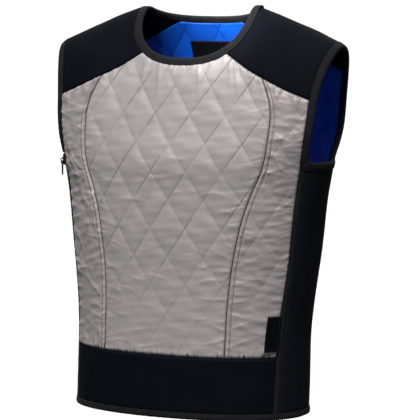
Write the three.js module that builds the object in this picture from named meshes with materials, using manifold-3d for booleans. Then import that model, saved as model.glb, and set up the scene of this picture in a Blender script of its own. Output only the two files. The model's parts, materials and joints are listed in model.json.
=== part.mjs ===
// Cooling vest in its worn shape: quilted front and back, stretch yokes and sides, bound edges, side zip.
// Millimetres. +Z is up, the front faces -Y, and +X is the wearer's left.
// The shape is built upwards from the hem and then lowered, so that the origin lies midway between the
// two places where the shoulders carry it.
import * as THREE from 'three';
import { mergeVertices } from 'three/addons/utils/BufferGeometryUtils.js';
import Module from 'manifold-3d';

// Body sizes
const bodyLength = 580;
const chestWidth = 420;
const chestDepth = 210;
const shoulderWidth = 452;
const shoulderDrop = 55;
const collarRise = 16;
const neckWidth = 170;
const frontNeckDrop = 74;
const backNeckDrop = 17;
const underarmHeight = 362;
const hemBandHeight = 88;

// Cloth sizes
const paddingThickness = 3;
const puffHeight = 3;
const stretchThickness = 2.2;
const liningThickness = 1;
const liningRoom = 0.95;
const liningInset = 2;
const seamGap = 0.6;
const layerGap = 0.3;
const bindingWidth = 10;
const hemBindingWidth = 8.5;
const bindingLift = 1.2;
const stripWidth = 9;

// Quilting: a diamond's width and height, and the height of the lowest crossing on the centre line
const quiltWidth = 55;
const quiltHeight = 79.6;
const quiltCrossing = 147;

// Label and tab
const labelWidth = 86;
const labelHeight = 30;
const labelDrop = 38;
const labelThickness = 0.8;
const labelRoom = 0.9;
const tabWidth = 20;
const tabHeight = 50;
const tabRise = 59;
const tabThickness = 1.6;
const tabRoom = 0.4;

// Side zip
const tapeWidth = 5;
const teethWidth = 4;
const tapeThickness = 1.2;
const teethLift = 1;
const sliderLength = 12;
const sliderWidth = 9;
const sliderNose = 6;
const sliderPlate = 2;
const sliderRoom = 0.5;
const zipTopRoom = 3;
const bridgeLength = 9;
const bridgeWidth = 2;
const bridgeThickness = 1.2;
const bridgeClearance = 2.9;
const pullLength = 21;
const pullWidth = 6.4;
const pullTip = 4.6;
const pullThickness = 1.4;
const pullClearance = 0.5;

const chestHalf = chestWidth / 2;
const shoulderHalf = shoulderWidth / 2;
const neckHalf = neckWidth / 2;
const depthHalf = chestDepth / 2;
const zipWidth = 2 * tapeWidth + teethWidth;
const zipTop = underarmHeight - zipTopRoom;
const armBandHeight = underarmHeight - bindingWidth;
const roofStart = 0.603 * bodyLength;
const sectionPower = 2.2;
const neckPower = 2.4;

// Cross-sections from the hem up. Height is a share of the body length, chest and shoulder are the shares
// of those half widths, and front, back and centre are shares of half the chest depth.
const sections = [
  { height: 0.0, chest: 0.85, shoulder: 0, front: 1.0, back: 1.0, centre: -0.324 },
  { height: 0.172, chest: 0.848, shoulder: 0, front: 1.01, back: 0.99, centre: -0.257 },
  { height: 0.4, chest: 0.912, shoulder: 0, front: 0.98, back: 0.99, centre: -0.181 },
  { height: 0.603, chest: 0.997, shoulder: 0, front: 0.89, back: 0.99, centre: -0.186 },
  { height: 0.707, chest: 0, shoulder: 1.053, front: 0.88, back: 1.01, centre: -0.124 },
  { height: 0.897, chest: 0, shoulder: 1.106, front: 0.9, back: 1.03, centre: -0.045 },
  { height: 1.034, chest: 0, shoulder: 1.106, front: 0.92, back: 1.03, centre: -0.01 },
];

// The top line of the shoulders. Neck and shoulder add up to the distance from the centre, rise and drop
// are shares of the collar rise and shoulder drop. Round is how boxy the shoulder is from front to back.
const ridgeRows = [
  { neck: 0, shoulder: 0, rise: 1, drop: 0, round: 1.5 },
  { neck: 1, shoulder: 0, rise: 0, drop: 0, round: 1.5 },
  { neck: 0.5, shoulder: 0.5, rise: 0, drop: 0.45, round: 1.85 },
  { neck: 0, shoulder: 1, rise: 0, drop: 1, round: 2.3 },
  { neck: 0, shoulder: 1.15, rise: 0, drop: 1.35, round: 2.3 },
];

// Side seams below the armhole: height is a share of the body length, reach of the half width there.
const sideSeamRows = [
  { height: 0, reach: 0.88 },
  { height: 0.17, reach: 0.893 },
  { height: 0.365, reach: 0.903 },
  { height: 0.5, reach: 0.898 },
  { height: 0.61, reach: 0.893 },
];

// Bound edge of the armhole: climb is the share of the way up to the shoulder, reach of the way out.
const armholeRows = [
  { climb: 0, reach: 0 },
  { climb: 0.243, reach: 0.224 },
  { climb: 0.4, reach: 0.328 },
  { climb: 0.554, reach: 0.397 },
  { climb: 0.695, reach: 0.534 },
  { climb: 0.836, reach: 0.724 },
  { climb: 0.95, reach: 0.93 },
  { climb: 1, reach: 1 },
];

// Curved front seams: height is a share of the body length, reach of the chest's half width.
const frontSeamRows = [
  { height: 0.14, reach: 0.456 },
  { height: 0.25, reach: 0.461 },
  { height: 0.34, reach: 0.476 },
  { height: 0.417, reach: 0.507 },
  { height: 0.48, reach: 0.542 },
  { height: 0.552, reach: 0.605 },
  { height: 0.6, reach: 0.66 },
  { height: 0.648, reach: 0.69 },
  { height: 0.725, reach: 0.703 },
  { height: 0.766, reach: 0.687 },
  { height: 0.8, reach: 0.648 },
  { height: 0.84, reach: 0.592 },
  { height: 0.88, reach: 0.53 },
];

// Where the yoke seams meet the neckline, as a turn round the neck from the shoulder, and the armhole.
const yokeFrontTurn = THREE.MathUtils.degToRad(49);
const yokeBackTurn = THREE.MathUtils.degToRad(62);
const yokeFrontArmHeight = 0.776 * bodyLength;
const yokeBackArmHeight = 0.84 * bodyLength;
const restAcross = 0.66 * shoulderHalf;

// How finely the faces are divided
const girthSteps = 60;
const closePitch = 1.2;
const settleRounds = 8;
const searchSteps = 24;
const yokeColumns = 6;
const yokeRows = 12;
const sideColumns = 7;
const sideRows = 13;
const liningColumns = 16;
const liningRows = 15;
const bandColumns = 18;
const bandRows = 3;
const hemColumns = 44;

const finishes = {
  silver: { color: 0x9c9698, roughness: 0.45, metalness: 0.25 },
  stretch: { color: 0x12151c, roughness: 0.7, metalness: 0 },
  binding: { color: 0x2a2b30, roughness: 0.8, metalness: 0 },
  lining: { color: 0x1c5cae, roughness: 0.5, metalness: 0 },
  zip: { color: 0x0d0d0f, roughness: 0.4, metalness: 0 },
  label: { color: 0x101012, roughness: 0.6, metalness: 0 },
};

const vest = new THREE.Group();

function addPiece(name, geometry, finish) {
  const mesh = new THREE.Mesh(geometry, new THREE.MeshStandardMaterial(finishes[finish]));
  mesh.name = name;
  vest.add(mesh);
  return mesh;
}

function mix(low, high, share) {
  return low + (high - low) * share;
}

function clamp(value, low, high) {
  return Math.max(low, Math.min(high, value));
}

function signedPower(value, power) {
  return Math.sign(value) * Math.abs(value) ** power;
}

// A smooth curve through table rows that never overshoots them.
function throughRows(rows, place, value) {
  const steps = rows.slice(1).map((row, i) => (row[value] - rows[i][value]) / (row[place] - rows[i][place]));
  const slopes = rows.map((row, i) => {
    const before = steps[Math.max(i - 1, 0)];
    const after = steps[Math.min(i, steps.length - 1)];
    return before * after > 0 ? (2 * before * after) / (before + after) : 0;
  });
  return (at) => {
    let i = 0;
    while (i < rows.length - 2 && at > rows[i + 1][place]) i += 1;
    const span = rows[i + 1][place] - rows[i][place];
    const t = clamp((at - rows[i][place]) / span, 0, 1);
    const low = (1 + 2 * t) * (1 - t) ** 2 * rows[i][value] + t * (1 - t) ** 2 * span * slopes[i];
    return low + t * t * (3 - 2 * t) * rows[i + 1][value] + t * t * (t - 1) * span * slopes[i + 1];
  };
}

const sectionSizes = sections.map((row) => ({
  height: row.height * bodyLength,
  halfWidth: row.chest * chestHalf + row.shoulder * shoulderHalf,
  front: row.front * depthHalf,
  back: row.back * depthHalf,
  centre: row.centre * depthHalf,
}));
const halfWidthAt = throughRows(sectionSizes, 'height', 'halfWidth');
const frontDepthAt = throughRows(sectionSizes, 'height', 'front');
const backDepthAt = throughRows(sectionSizes, 'height', 'back');
const centreAt = throughRows(sectionSizes, 'height', 'centre');

const ridgeSizes = ridgeRows.map((row) => ({
  across: row.neck * neckHalf + row.shoulder * shoulderHalf,
  height: bodyLength + row.rise * collarRise - row.drop * shoulderDrop,
  round: row.round,
}));
const ridgeHeightAt = throughRows(ridgeSizes, 'across', 'height');
const ridgeRoundAt = throughRows(ridgeSizes, 'across', 'round');

// How much of the depth is left where the shoulders close in above the chest.
function roofShare(across, height) {
  if (height <= roofStart) return 1;
  const round = ridgeRoundAt(across);
  const climb = clamp((height - roofStart) / (ridgeHeightAt(across) - roofStart), 0, 1);
  return (1 - climb ** round) ** (1 / round);
}

// A point of the outer face: angle 0 is the front centre, a quarter turn the wearer's left side.
function bodyPoint(angle, height) {
  const across = halfWidthAt(height) * signedPower(Math.sin(angle), 2 / sectionPower);
  const facing = Math.cos(angle);
  const depth = facing > 0 ? frontDepthAt(height) : backDepthAt(height);
  const reach = depth * signedPower(facing, 2 / sectionPower) * roofShare(Math.abs(across), height);
  return new THREE.Vector3(across, centreAt(height) - reach, height);
}

function angleAtAcross(across, height, behind) {
  const angle = Math.asin(clamp(across / halfWidthAt(height), 0, 1) ** (sectionPower / 2));
  return behind ? Math.PI - angle : angle;
}

// Distance along the cloth from the front or back centre line, measured on a level line.
const girthTables = new Map();

function girthTable(anyHeight, behind) {
  const height = Math.round(anyHeight);
  const key = `${behind} ${height}`;
  if (!girthTables.has(key)) {
    const start = behind ? Math.PI : 0;
    const turn = ((behind ? -1 : 1) * Math.PI) / 2 / girthSteps;
    const table = [{ angle: start, girth: 0 }];
    let last = bodyPoint(start, height);
    for (let i = 1; i <= girthSteps; i += 1) {
      const point = bodyPoint(start + i * turn, height);
      table.push({ angle: start + i * turn, girth: table[i - 1].girth + point.distanceTo(last) });
      last = point;
    }
    girthTables.set(key, table);
  }
  return girthTables.get(key);
}

function angleAtGirth(girth, height, behind) {
  const table = girthTable(height, behind);
  const distance = Math.abs(girth);
  let i = 1;
  while (i < girthSteps && table[i].girth < distance) i += 1;
  const share = (distance - table[i - 1].girth) / (table[i].girth - table[i - 1].girth);
  const angle = mix(table[i - 1].angle, table[i].angle, share);
  return girth < 0 ? -angle : angle;
}

function girthAtAcross(across, height, behind) {
  const table = girthTable(height, behind);
  const angle = angleAtAcross(across, height, behind);
  const place = (Math.abs(angle - table[0].angle) / (Math.PI / 2)) * girthSteps;
  const i = Math.min(Math.floor(place), girthSteps - 1);
  return mix(table[i].girth, table[i + 1].girth, place - i);
}

// Seam lines
const sideReachAt = throughRows(sideSeamRows, 'height', 'reach');
const armReachAt = throughRows(armholeRows, 'climb', 'reach');
const frontSeamReachAt = throughRows(frontSeamRows, 'height', 'reach');
const armTopAcross = shoulderHalf - 0.9 * bindingWidth;
const armTopHeight = ridgeHeightAt(armTopAcross);

// The edge where the silver panels stop at the side: the side seam, then the bound armhole.
function sideEdge(height) {
  const seamHeight = Math.min(height, armBandHeight);
  const seam = sideReachAt(seamHeight / bodyLength) * halfWidthAt(seamHeight);
  const climb = clamp((height - armBandHeight) / (armTopHeight - armBandHeight), 0, 1);
  return mix(seam, armTopAcross, armReachAt(climb));
}

function frontSideGirth(height) {
  return girthAtAcross(sideEdge(height), height, false);
}

function backSideGirth(height) {
  return girthAtAcross(sideEdge(height), height, true);
}

function frontSeam(height) {
  return frontSeamReachAt(height / bodyLength) * chestHalf;
}

function frontSeamGirth(height) {
  return girthAtAcross(frontSeam(height), height, false);
}

// The neckline, moved outwards over the cloth by grow.
function neckLine(behind, grow) {
  const slope = behind ? 0.82 : 0.94;
  const halfWidth = neckHalf + grow;
  const top = ridgeHeightAt(halfWidth);
  const low = bodyLength - (behind ? backNeckDrop : frontNeckDrop) - slope * grow;
  return { halfWidth, top, drop: top - low };
}

function neckHeight(across, behind, grow) {
  const line = neckLine(behind, grow);
  const share = clamp(across / line.halfWidth, 0, 1);
  return line.top - line.drop * (1 - share ** neckPower) ** (1 / neckPower);
}

function neckPlace(turn, grow) {
  const behind = turn < 0;
  const line = neckLine(behind, grow);
  const across = line.halfWidth * Math.cos(turn) ** (2 / neckPower);
  const height = line.top - line.drop * Math.abs(Math.sin(turn)) ** (2 / neckPower);
  return { across, height, behind };
}

// The shoulders are laid out by the distance from the centre and a turn from front to back over the top.
function turnAt({ across, height, behind }) {
  const climb = clamp((height - roofStart) / (ridgeHeightAt(across) - roofStart), 0, 1);
  const turn = Math.asin(climb ** (ridgeRoundAt(across) / 2));
  return behind ? Math.PI - turn : turn;
}

function shoulderHeight(across, turn) {
  return mix(roofStart, ridgeHeightAt(across), Math.sin(turn) ** (2 / ridgeRoundAt(across)));
}

function shoulderPoint(across, turn) {
  const height = shoulderHeight(across, turn);
  const facing = Math.cos(turn);
  const depth = facing > 0 ? frontDepthAt(height) : backDepthAt(height);
  const side = (1 - (across / halfWidthAt(height)) ** sectionPower) ** (1 / sectionPower);
  const reach = depth * side * signedPower(facing, 2 / ridgeRoundAt(across));
  return new THREE.Vector3(across, centreAt(height) - reach, height);
}

const neckFrontCorner = neckPlace(yokeFrontTurn, bindingWidth);
const neckBackCorner = neckPlace(-yokeBackTurn, bindingWidth);
const armFrontCorner = { across: sideEdge(yokeFrontArmHeight), height: yokeFrontArmHeight, behind: false };
const armBackCorner = { across: sideEdge(yokeBackArmHeight), height: yokeBackArmHeight, behind: true };

// Height of the yoke seam at a distance from the centre, on the front or the back.
function yokeSeamHeight(across, behind) {
  const inner = behind ? neckBackCorner : neckFrontCorner;
  const outer = behind ? armBackCorner : armFrontCorner;
  const share = (across - inner.across) / (outer.across - inner.across);
  return shoulderHeight(across, mix(turnAt(inner), turnAt(outer), share));
}

function panelTop(across, behind) {
  const corner = behind ? neckBackCorner : neckFrontCorner;
  return across < corner.across ? neckHeight(across, behind, bindingWidth) : yokeSeamHeight(across, behind);
}

// A sheet is a grid of points on the outer face, with the way out of the cloth at each.
function sheetFrom(columns, rows, pointAt) {
  const points = [];
  for (let i = 0; i <= columns; i += 1) {
    points.push([]);
    for (let j = 0; j <= rows; j += 1) points[i].push(pointAt(i, j));
  }
  const normals = points.map((column, i) => column.map((point, j) => {
    const across = points[Math.min(i + 1, columns)][j].clone().sub(points[Math.max(i - 1, 0)][j]);
    const along = column[Math.min(j + 1, rows)].clone().sub(column[Math.max(j - 1, 0)]);
    return across.cross(along).normalize();
  }));
  return { points, normals };
}

function stepInwards(from, to, distance) {
  return from.clone().add(to.clone().sub(from).setLength(distance));
}

// Half the seam gap comes off every edge.
function trimmed({ points, normals }) {
  const lastColumn = points.length - 1;
  const lastRow = points[0].length - 1;
  const moved = points.map((column, i) => column.map((point, j) => {
    let place = point;
    if (i === 0) place = stepInwards(place, points[1][j], seamGap / 2);
    if (i === lastColumn) place = stepInwards(place, points[lastColumn - 1][j], seamGap / 2);
    if (j === 0) place = stepInwards(place, column[1], seamGap / 2);
    if (j === lastRow) place = stepInwards(place, column[lastRow - 1], seamGap / 2);
    return place;
  }));
  return { points: moved, normals };
}

// The wearer's right side is the left side seen in a mirror.
function flipped(point) {
  return new THREE.Vector3(-point.x, point.y, point.z);
}

function mirrored({ points, normals }) {
  const flip = (columns) => columns.map((column) => column.map(flipped)).reverse();
  return { points: flip(points), normals: flip(normals) };
}

// A closed body from corner points and triangles, turned so that its faces point out.
function closedBody(corners, triangles) {
  const volumeOf = ([a, b, c]) => corners[a].dot(corners[b].clone().cross(corners[c]));
  const volume = triangles.reduce((sum, triangle) => sum + volumeOf(triangle), 0);
  const faces = volume < 0 ? triangles.map(([a, b, c]) => [a, c, b]) : triangles;
  const geometry = new THREE.BufferGeometry();
  const numbers = corners.flatMap((point) => point.toArray());
  geometry.setAttribute('position', new THREE.Float32BufferAttribute(numbers, 3));
  geometry.setIndex(faces.flat());
  return geometry;
}

function quadFaces(a, b, c, d, otherWay = false) {
  return otherWay ? [[a, b, d], [b, c, d]] : [[a, b, c], [a, c, d]];
}

// A wall of cloth: the outer face lies outside(i, j) above the sheet, the inner face inside below it.
function clothBody({ points, normals }, outside, inside, otherWay = () => false) {
  const columns = points.length;
  const rows = points[0].length;
  const layer = (offset) => points.flatMap((column, i) => (
    column.map((point, j) => point.clone().addScaledVector(normals[i][j], offset(i, j)))
  ));
  const corners = [...layer(outside), ...layer(() => -inside)];
  const outer = (i, j) => i * rows + j;
  const inner = (i, j) => (columns + i) * rows + j;
  const triangles = [];
  for (let i = 0; i < columns - 1; i += 1) {
    for (let j = 0; j < rows - 1; j += 1) {
      const around = [[i, j], [i + 1, j], [i + 1, j + 1], [i, j + 1]];
      const out = around.map(([a, b]) => outer(a, b));
      const within = around.map(([a, b]) => inner(a, b));
      triangles.push(...quadFaces(...out, otherWay(i, j)));
      triangles.push(...quadFaces(...within, otherWay(i, j)).map(([a, b, c]) => [a, c, b]));
    }
  }
  const edge = [];
  for (let i = 0; i < columns - 1; i += 1) edge.push([i, 0]);
  for (let j = 0; j < rows - 1; j += 1) edge.push([columns - 1, j]);
  for (let i = columns - 1; i > 0; i -= 1) edge.push([i, rows - 1]);
  for (let j = rows - 1; j > 0; j -= 1) edge.push([0, j]);
  edge.forEach(([i, j], k) => {
    const [nextI, nextJ] = edge[(k + 1) % edge.length];
    triangles.push(...quadFaces(outer(i, j), inner(i, j), inner(nextI, nextJ), outer(nextI, nextJ)));
  });
  return closedBody(corners, triangles);
}

function stretchBody(sheet) {
  return clothBody(trimmed(sheet), () => 0, stretchThickness);
}

// Quilted panels. Columns and rows follow the quarter lines of the diamonds and close up at the edges.
const columnPitch = quiltWidth / 4;
const rowPitch = quiltHeight / 4;

function latticeHeights(bottom, top, marks) {
  const heights = [];
  const first = Math.ceil((bottom + rowPitch / 3 - quiltCrossing) / rowPitch);
  for (let k = first; quiltCrossing + k * rowPitch < top; k += 1) {
    const height = quiltCrossing + k * rowPitch;
    if (marks.every((mark) => Math.abs(mark - height) > rowPitch / 3)) heights.push(height);
  }
  return [bottom, ...heights, ...marks, top].sort((a, b) => a - b);
}

// A panel lies between two lines of girth. Flat margins are kept for what is sewn on at an edge.
function quiltedPanel({ behind, from, to, widest, tallest, marks, flatTo }) {
  const heights = latticeHeights(hemBandHeight, tallest, marks);
  const first = Math.floor(widest.from / columnPitch);
  const columns = Math.ceil(widest.to / columnPitch) - first;
  const rows = heights.length - 1;
  const places = [];
  const sheet = sheetFrom(columns, rows, (i, j) => {
    let height = heights[j];
    let girth = 0;
    let angle = 0;
    let top = tallest;
    for (let round = 0; round < settleRounds; round += 1) {
      const low = from(height) + i * closePitch;
      const high = to(height) - (columns - i) * closePitch;
      girth = clamp((first + i) * columnPitch, low, high);
      angle = angleAtGirth(behind ? -girth : girth, height, behind);
      top = panelTop(Math.abs(bodyPoint(angle, height).x), behind);
      height = clamp(heights[j], hemBandHeight + j * closePitch, top - (rows - j) * closePitch);
    }
    const sideRoom = Math.min(girth - from(height), to(height) - girth - flatTo);
    places.push({ girth, height, room: Math.min(sideRoom, height - hemBandHeight, top - height) });
    return bodyPoint(angle, height);
  });
  return { sheet, heights, first, placeAt: (i, j) => places[i * (rows + 1) + j] };
}

// The padding stands up between the stitch lines and lies flat at the seams.
function puffAt({ girth, height, room }) {
  const u = girth / quiltWidth;
  const v = (height - quiltCrossing) / quiltHeight;
  const pillow = Math.abs(Math.sin(Math.PI * (u + v)) * Math.sin(Math.PI * (u - v))) ** 0.7;
  return puffHeight * clamp(room / columnPitch, 0, 1) * (pillow - 0.3);
}

function quiltedBody({ sheet, heights, first, placeAt }, faceOut) {
  const columns = sheet.points.length - 1;
  const rowOf = heights.map((height) => Math.round((height - quiltCrossing) / rowPitch));
  const isFourth = (count) => ((count % 4) + 4) % 4 === 0;
  const otherWay = (i, j) => {
    const column = first + (faceOut ? i : columns - 1 - i);
    const down = isFourth(column + rowOf[j] + 1);
    const up = isFourth(column - rowOf[j]);
    const slant = down || (!up && (column + rowOf[j]) % 2 !== 0);
    return faceOut ? slant : !slant;
  };
  const height = (i, j) => puffAt(placeAt(faceOut ? i : columns - i, j));
  return clothBody(trimmed(faceOut ? sheet : mirrored(sheet)), height, paddingThickness, otherWay);
}

function widestOf(line, low, high) {
  const heights = Array.from({ length: girthSteps }, (_, i) => mix(low, high, i / (girthSteps - 1)));
  return Math.max(...heights.map(line));
}

const frontSeamTop = 0.84 * bodyLength;
const frontSeamWidest = widestOf(frontSeamGirth, hemBandHeight, frontSeamTop);
const frontSeamNarrowest = -widestOf((height) => -frontSeamGirth(height), hemBandHeight, frontSeamTop);
const frontPanel = quiltedPanel({
  behind: false,
  from: (height) => -frontSeamGirth(height),
  to: frontSeamGirth,
  widest: { from: -frontSeamWidest, to: frontSeamWidest },
  tallest: neckFrontCorner.height,
  marks: [armBandHeight, underarmHeight],
  flatTo: 0,
});
addPiece('front_panel', quiltedBody(frontPanel, true), 'silver');

const sideFront = quiltedPanel({
  behind: false,
  from: frontSeamGirth,
  to: frontSideGirth,
  widest: { from: frontSeamNarrowest, to: widestOf(frontSideGirth, hemBandHeight, yokeFrontArmHeight) },
  tallest: yokeSeamHeight(frontSeam(frontSeamTop), false),
  marks: [armBandHeight, underarmHeight],
  flatTo: tabWidth,
});
addPiece('side_front_left', quiltedBody(sideFront, true), 'silver');
addPiece('side_front_right', quiltedBody(sideFront, false), 'silver');

const backWidest = widestOf(backSideGirth, hemBandHeight, yokeBackArmHeight);
const backPanel = quiltedPanel({
  behind: true,
  from: (height) => -backSideGirth(height),
  to: backSideGirth,
  widest: { from: -backWidest, to: backWidest },
  tallest: neckBackCorner.height,
  marks: [armBandHeight],
  flatTo: 0,
});
addPiece('back_panel', quiltedBody(backPanel, true), 'silver');

// Plain lining of the back, just inside the panel and held back from its edges.
function backPlace(side, share) {
  let height = mix(hemBandHeight, neckBackCorner.height, share);
  let angle = Math.PI;
  for (let round = 0; round < settleRounds; round += 1) {
    angle = angleAtGirth(-side * (backSideGirth(height) - liningInset), height, true);
    const top = panelTop(Math.abs(bodyPoint(angle, height).x), true) - liningInset;
    height = mix(hemBandHeight, top, share);
  }
  return bodyPoint(angle, height);
}
const liningOuter = paddingThickness + liningRoom;
const liningInner = liningOuter + liningThickness;
const liningSheet = trimmed(sheetFrom(liningColumns, liningRows, (i, j) => (
  backPlace((2 * i) / liningColumns - 1, j / liningRows)
)));
addPiece('back_lining', clothBody(liningSheet, () => -liningOuter, liningInner), 'lining');

// Yokes, from the front seam over the shoulder to the back seam.
function neckPlaceAtTurn(turn) {
  let front = yokeFrontTurn;
  let back = -yokeBackTurn;
  for (let step = 0; step < searchSteps; step += 1) {
    const middle = (front + back) / 2;
    if (turnAt(neckPlace(middle, bindingWidth)) < turn) front = middle;
    else back = middle;
  }
  return neckPlace((front + back) / 2, bindingWidth);
}

function armAcrossAtTurn(turn) {
  let across = armTopAcross;
  for (let step = 0; step < searchSteps; step += 1) across = sideEdge(shoulderHeight(across, turn));
  return across;
}

const yokeSheet = sheetFrom(yokeColumns, yokeRows, (i, j) => {
  const neckTurn = mix(turnAt(neckFrontCorner), turnAt(neckBackCorner), j / yokeRows);
  const armTurn = mix(turnAt(armFrontCorner), turnAt(armBackCorner), j / yokeRows);
  const across = mix(neckPlaceAtTurn(neckTurn).across, armAcrossAtTurn(armTurn), i / yokeColumns);
  return shoulderPoint(across, mix(neckTurn, armTurn, i / yokeColumns));
});
addPiece('shoulder_yoke_left', stretchBody(yokeSheet), 'stretch');
addPiece('shoulder_yoke_right', stretchBody(mirrored(yokeSheet)), 'stretch');

// Side panels: on the wearer's left behind the strip, on the right behind the zip.
function besideSideEdge(height, distance) {
  return angleAtGirth(frontSideGirth(height) + distance, height, false);
}

function sidePanelSheet(margin) {
  return sheetFrom(sideColumns, sideRows, (i, j) => {
    const height = mix(hemBindingWidth, armBandHeight, j / sideRows);
    const back = angleAtAcross(sideEdge(height), height, true);
    return bodyPoint(mix(besideSideEdge(height, margin), back, i / sideColumns), height);
  });
}
const leftSideSheet = sidePanelSheet(stripWidth);
const rightSideSheet = sidePanelSheet(zipWidth);
addPiece('side_panel_left', stretchBody(leftSideSheet), 'stretch');
addPiece('side_panel_right', stretchBody(mirrored(rightSideSheet)), 'stretch');

// Hem bands
function bandSheet(behind) {
  return sheetFrom(bandColumns, bandRows, (i, j) => {
    const height = mix(hemBindingWidth, hemBandHeight, j / bandRows);
    const edge = angleAtAcross(sideEdge(height), height, behind);
    const start = behind ? edge : -edge;
    const end = behind ? 2 * Math.PI - edge : edge;
    return bodyPoint(mix(start, end, i / bandColumns), height);
  });
}
addPiece('front_hem_band', stretchBody(bandSheet(false)), 'stretch');
addPiece('back_hem_band', stretchBody(bandSheet(true)), 'stretch');

// Strips that run up the side seam, at a distance from the side edge.
function seamStripSheet(distance, width, top) {
  return sheetFrom(1, sideRows, (i, j) => {
    const height = mix(hemBindingWidth, top, j / sideRows);
    return bodyPoint(besideSideEdge(height, distance + width * i), height);
  });
}
addPiece('side_strip_left', stretchBody(seamStripSheet(0, stripWidth, armBandHeight)), 'binding');

// Bindings: a padded tape laid along a closed or open edge, on the side of the opening.
const bindingDepth = paddingThickness + layerGap;
const bindingProfile = [
  { across: 0, out: 0.5 * bindingLift },
  { across: 0.5, out: bindingLift },
  { across: 1, out: 0.3 * bindingLift },
  { across: 1, out: 0.4 * bindingLift - bindingDepth },
  { across: 0.5, out: -bindingDepth },
  { across: 0, out: 0.2 * bindingLift - bindingDepth },
];

function columnEdge({ points, normals }, i) {
  return points[i].map((point, j) => ({ point, normal: normals[i][j] }));
}

function rowEdge({ points, normals }, j) {
  return points.map((column, i) => ({ point: column[j], normal: normals[i][j] }));
}

function mirroredEdge(edge) {
  return edge.map(({ point, normal }) => ({ point: flipped(point), normal: flipped(normal) }));
}

function spaced(edge) {
  return edge.reduce((kept, place) => {
    const last = kept[kept.length - 1];
    return last && last.point.distanceTo(place.point) < bindingWidth / 3 ? kept : [...kept, place];
  }, []);
}

function ringsToBody(rings, closed) {
  const size = rings[0].length;
  const triangles = [];
  const segments = closed ? rings.length : rings.length - 1;
  for (let k = 0; k < segments; k += 1) {
    const next = (k + 1) % rings.length;
    for (let p = 0; p < size; p += 1) {
      const q = (p + 1) % size;
      triangles.push(...quadFaces(k * size + p, next * size + p, next * size + q, k * size + q));
    }
  }
  if (!closed) {
    const end = (rings.length - 1) * size;
    for (let p = 1; p < size - 1; p += 1) triangles.push([0, p, p + 1], [end, end + p + 1, end + p]);
  }
  return closedBody(rings.flat(), triangles);
}

function bindingBody(edge, closed) {
  const places = spaced(edge);
  const count = places.length;
  if (!closed) {
    const end = count - 1;
    places[0].point = stepInwards(places[0].point, places[1].point, seamGap / 2);
    places[end].point = stepInwards(places[end].point, places[end - 1].point, seamGap / 2);
  }
  const middle = places.reduce((sum, { point }) => sum.add(point), new THREE.Vector3()).divideScalar(count);
  const sideways = places.map(({ point, normal }, k) => {
    const before = places[(k + count - 1) % count].point;
    const after = places[(k + 1) % count].point;
    const ways = [];
    if (closed || k > 0) ways.push(normal.clone().cross(point.clone().sub(before)).normalize());
    if (closed || k < count - 1) ways.push(normal.clone().cross(after.clone().sub(point)).normalize());
    const sum = ways.reduce((total, way) => total.clone().add(way));
    return sum.multiplyScalar(ways.length / sum.lengthSq());
  });
  const lean = places.reduce((sum, { point }, k) => sum + sideways[k].dot(middle.clone().sub(point)), 0);
  const rings = places.map(({ point, normal }, k) => bindingProfile.map(({ across, out }) => {
    const reach = Math.sign(lean) * mix(seamGap / 2, bindingWidth, across);
    return point.clone().addScaledVector(sideways[k], reach).addScaledVector(normal, out);
  }));
  return ringsToBody(rings, closed);
}

const neckEdgeLeft = columnEdge(yokeSheet, 0);
const neckEdgeRight = mirroredEdge(neckEdgeLeft).reverse();
const insideNeck = (edge, corner) => (
  edge.filter(({ point }) => Math.abs(point.x) < corner.across - bindingWidth / 3)
);
const frontNeckEdge = insideNeck(rowEdge(frontPanel.sheet, frontPanel.heights.length - 1), neckFrontCorner);
const backNeckEdge = insideNeck(rowEdge(backPanel.sheet, backPanel.heights.length - 1), neckBackCorner);
const neckEdge = [...frontNeckEdge, ...neckEdgeLeft, ...backNeckEdge, ...neckEdgeRight];
addPiece('neck_binding', bindingBody(neckEdge, true), 'binding');

function armEdge(sideSheet, frontLowest) {
  const above = (edge, lowest) => edge.filter(({ point }) => point.z > lowest - layerGap);
  const front = above(columnEdge(sideFront.sheet, sideFront.sheet.points.length - 1), frontLowest);
  const over = columnEdge(yokeSheet, yokeColumns).slice(1);
  const back = above(columnEdge(backPanel.sheet, 0), armBandHeight).reverse().slice(1);
  const under = rowEdge(sideSheet, sideRows).reverse().slice(1);
  return [...front, ...over, ...back, ...under];
}
addPiece('armhole_binding_left', bindingBody(armEdge(leftSideSheet, armBandHeight), true), 'binding');
const rightArmEdge = mirroredEdge(armEdge(rightSideSheet, underarmHeight));
addPiece('armhole_binding_right', bindingBody(rightArmEdge, false), 'binding');

const hemTurn = (2 * Math.PI) / hemColumns;
const hemSheet = sheetFrom(hemColumns, 1, (i, j) => bodyPoint(hemTurn * i, hemBindingWidth * j));
const hemRings = hemSheet.points.slice(0, hemColumns).map(([low, high], i) => (
  bindingProfile.map(({ across, out }) => (
    stepInwards(high, low, seamGap / 2).lerp(low, across).addScaledVector(hemSheet.normals[i][0], out)
  ))
));
addPiece('hem_binding', ringsToBody(hemRings, true), 'binding');

// Side zip on the wearer's right, from the hem binding up to the armhole.
function zipPiece(name, start, width, lift) {
  const sheet = trimmed(mirrored(seamStripSheet(start, width, zipTop)));
  addPiece(name, clothBody(sheet, () => lift, tapeThickness), 'zip');
}
zipPiece('zip_tape_front', 0, tapeWidth, 0);
zipPiece('zip_teeth', tapeWidth, teethWidth, teethLift);
zipPiece('zip_tape_back', tapeWidth + teethWidth, tapeWidth, 0);

// The slider sits on the teeth, just under the top of the zip. Its own frame is beside, out and up the zip.
const manifoldKit = await Module();
manifoldKit.setup();

function toManifold(geometry) {
  const bare = geometry.clone();
  bare.deleteAttribute('normal');
  bare.deleteAttribute('uv');
  const merged = mergeVertices(bare);
  const vertProperties = new Float32Array(merged.getAttribute('position').array);
  const triVerts = new Uint32Array(merged.getIndex().array);
  return new manifoldKit.Manifold(new manifoldKit.Mesh({ numProp: 3, vertProperties, triVerts }));
}

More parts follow.
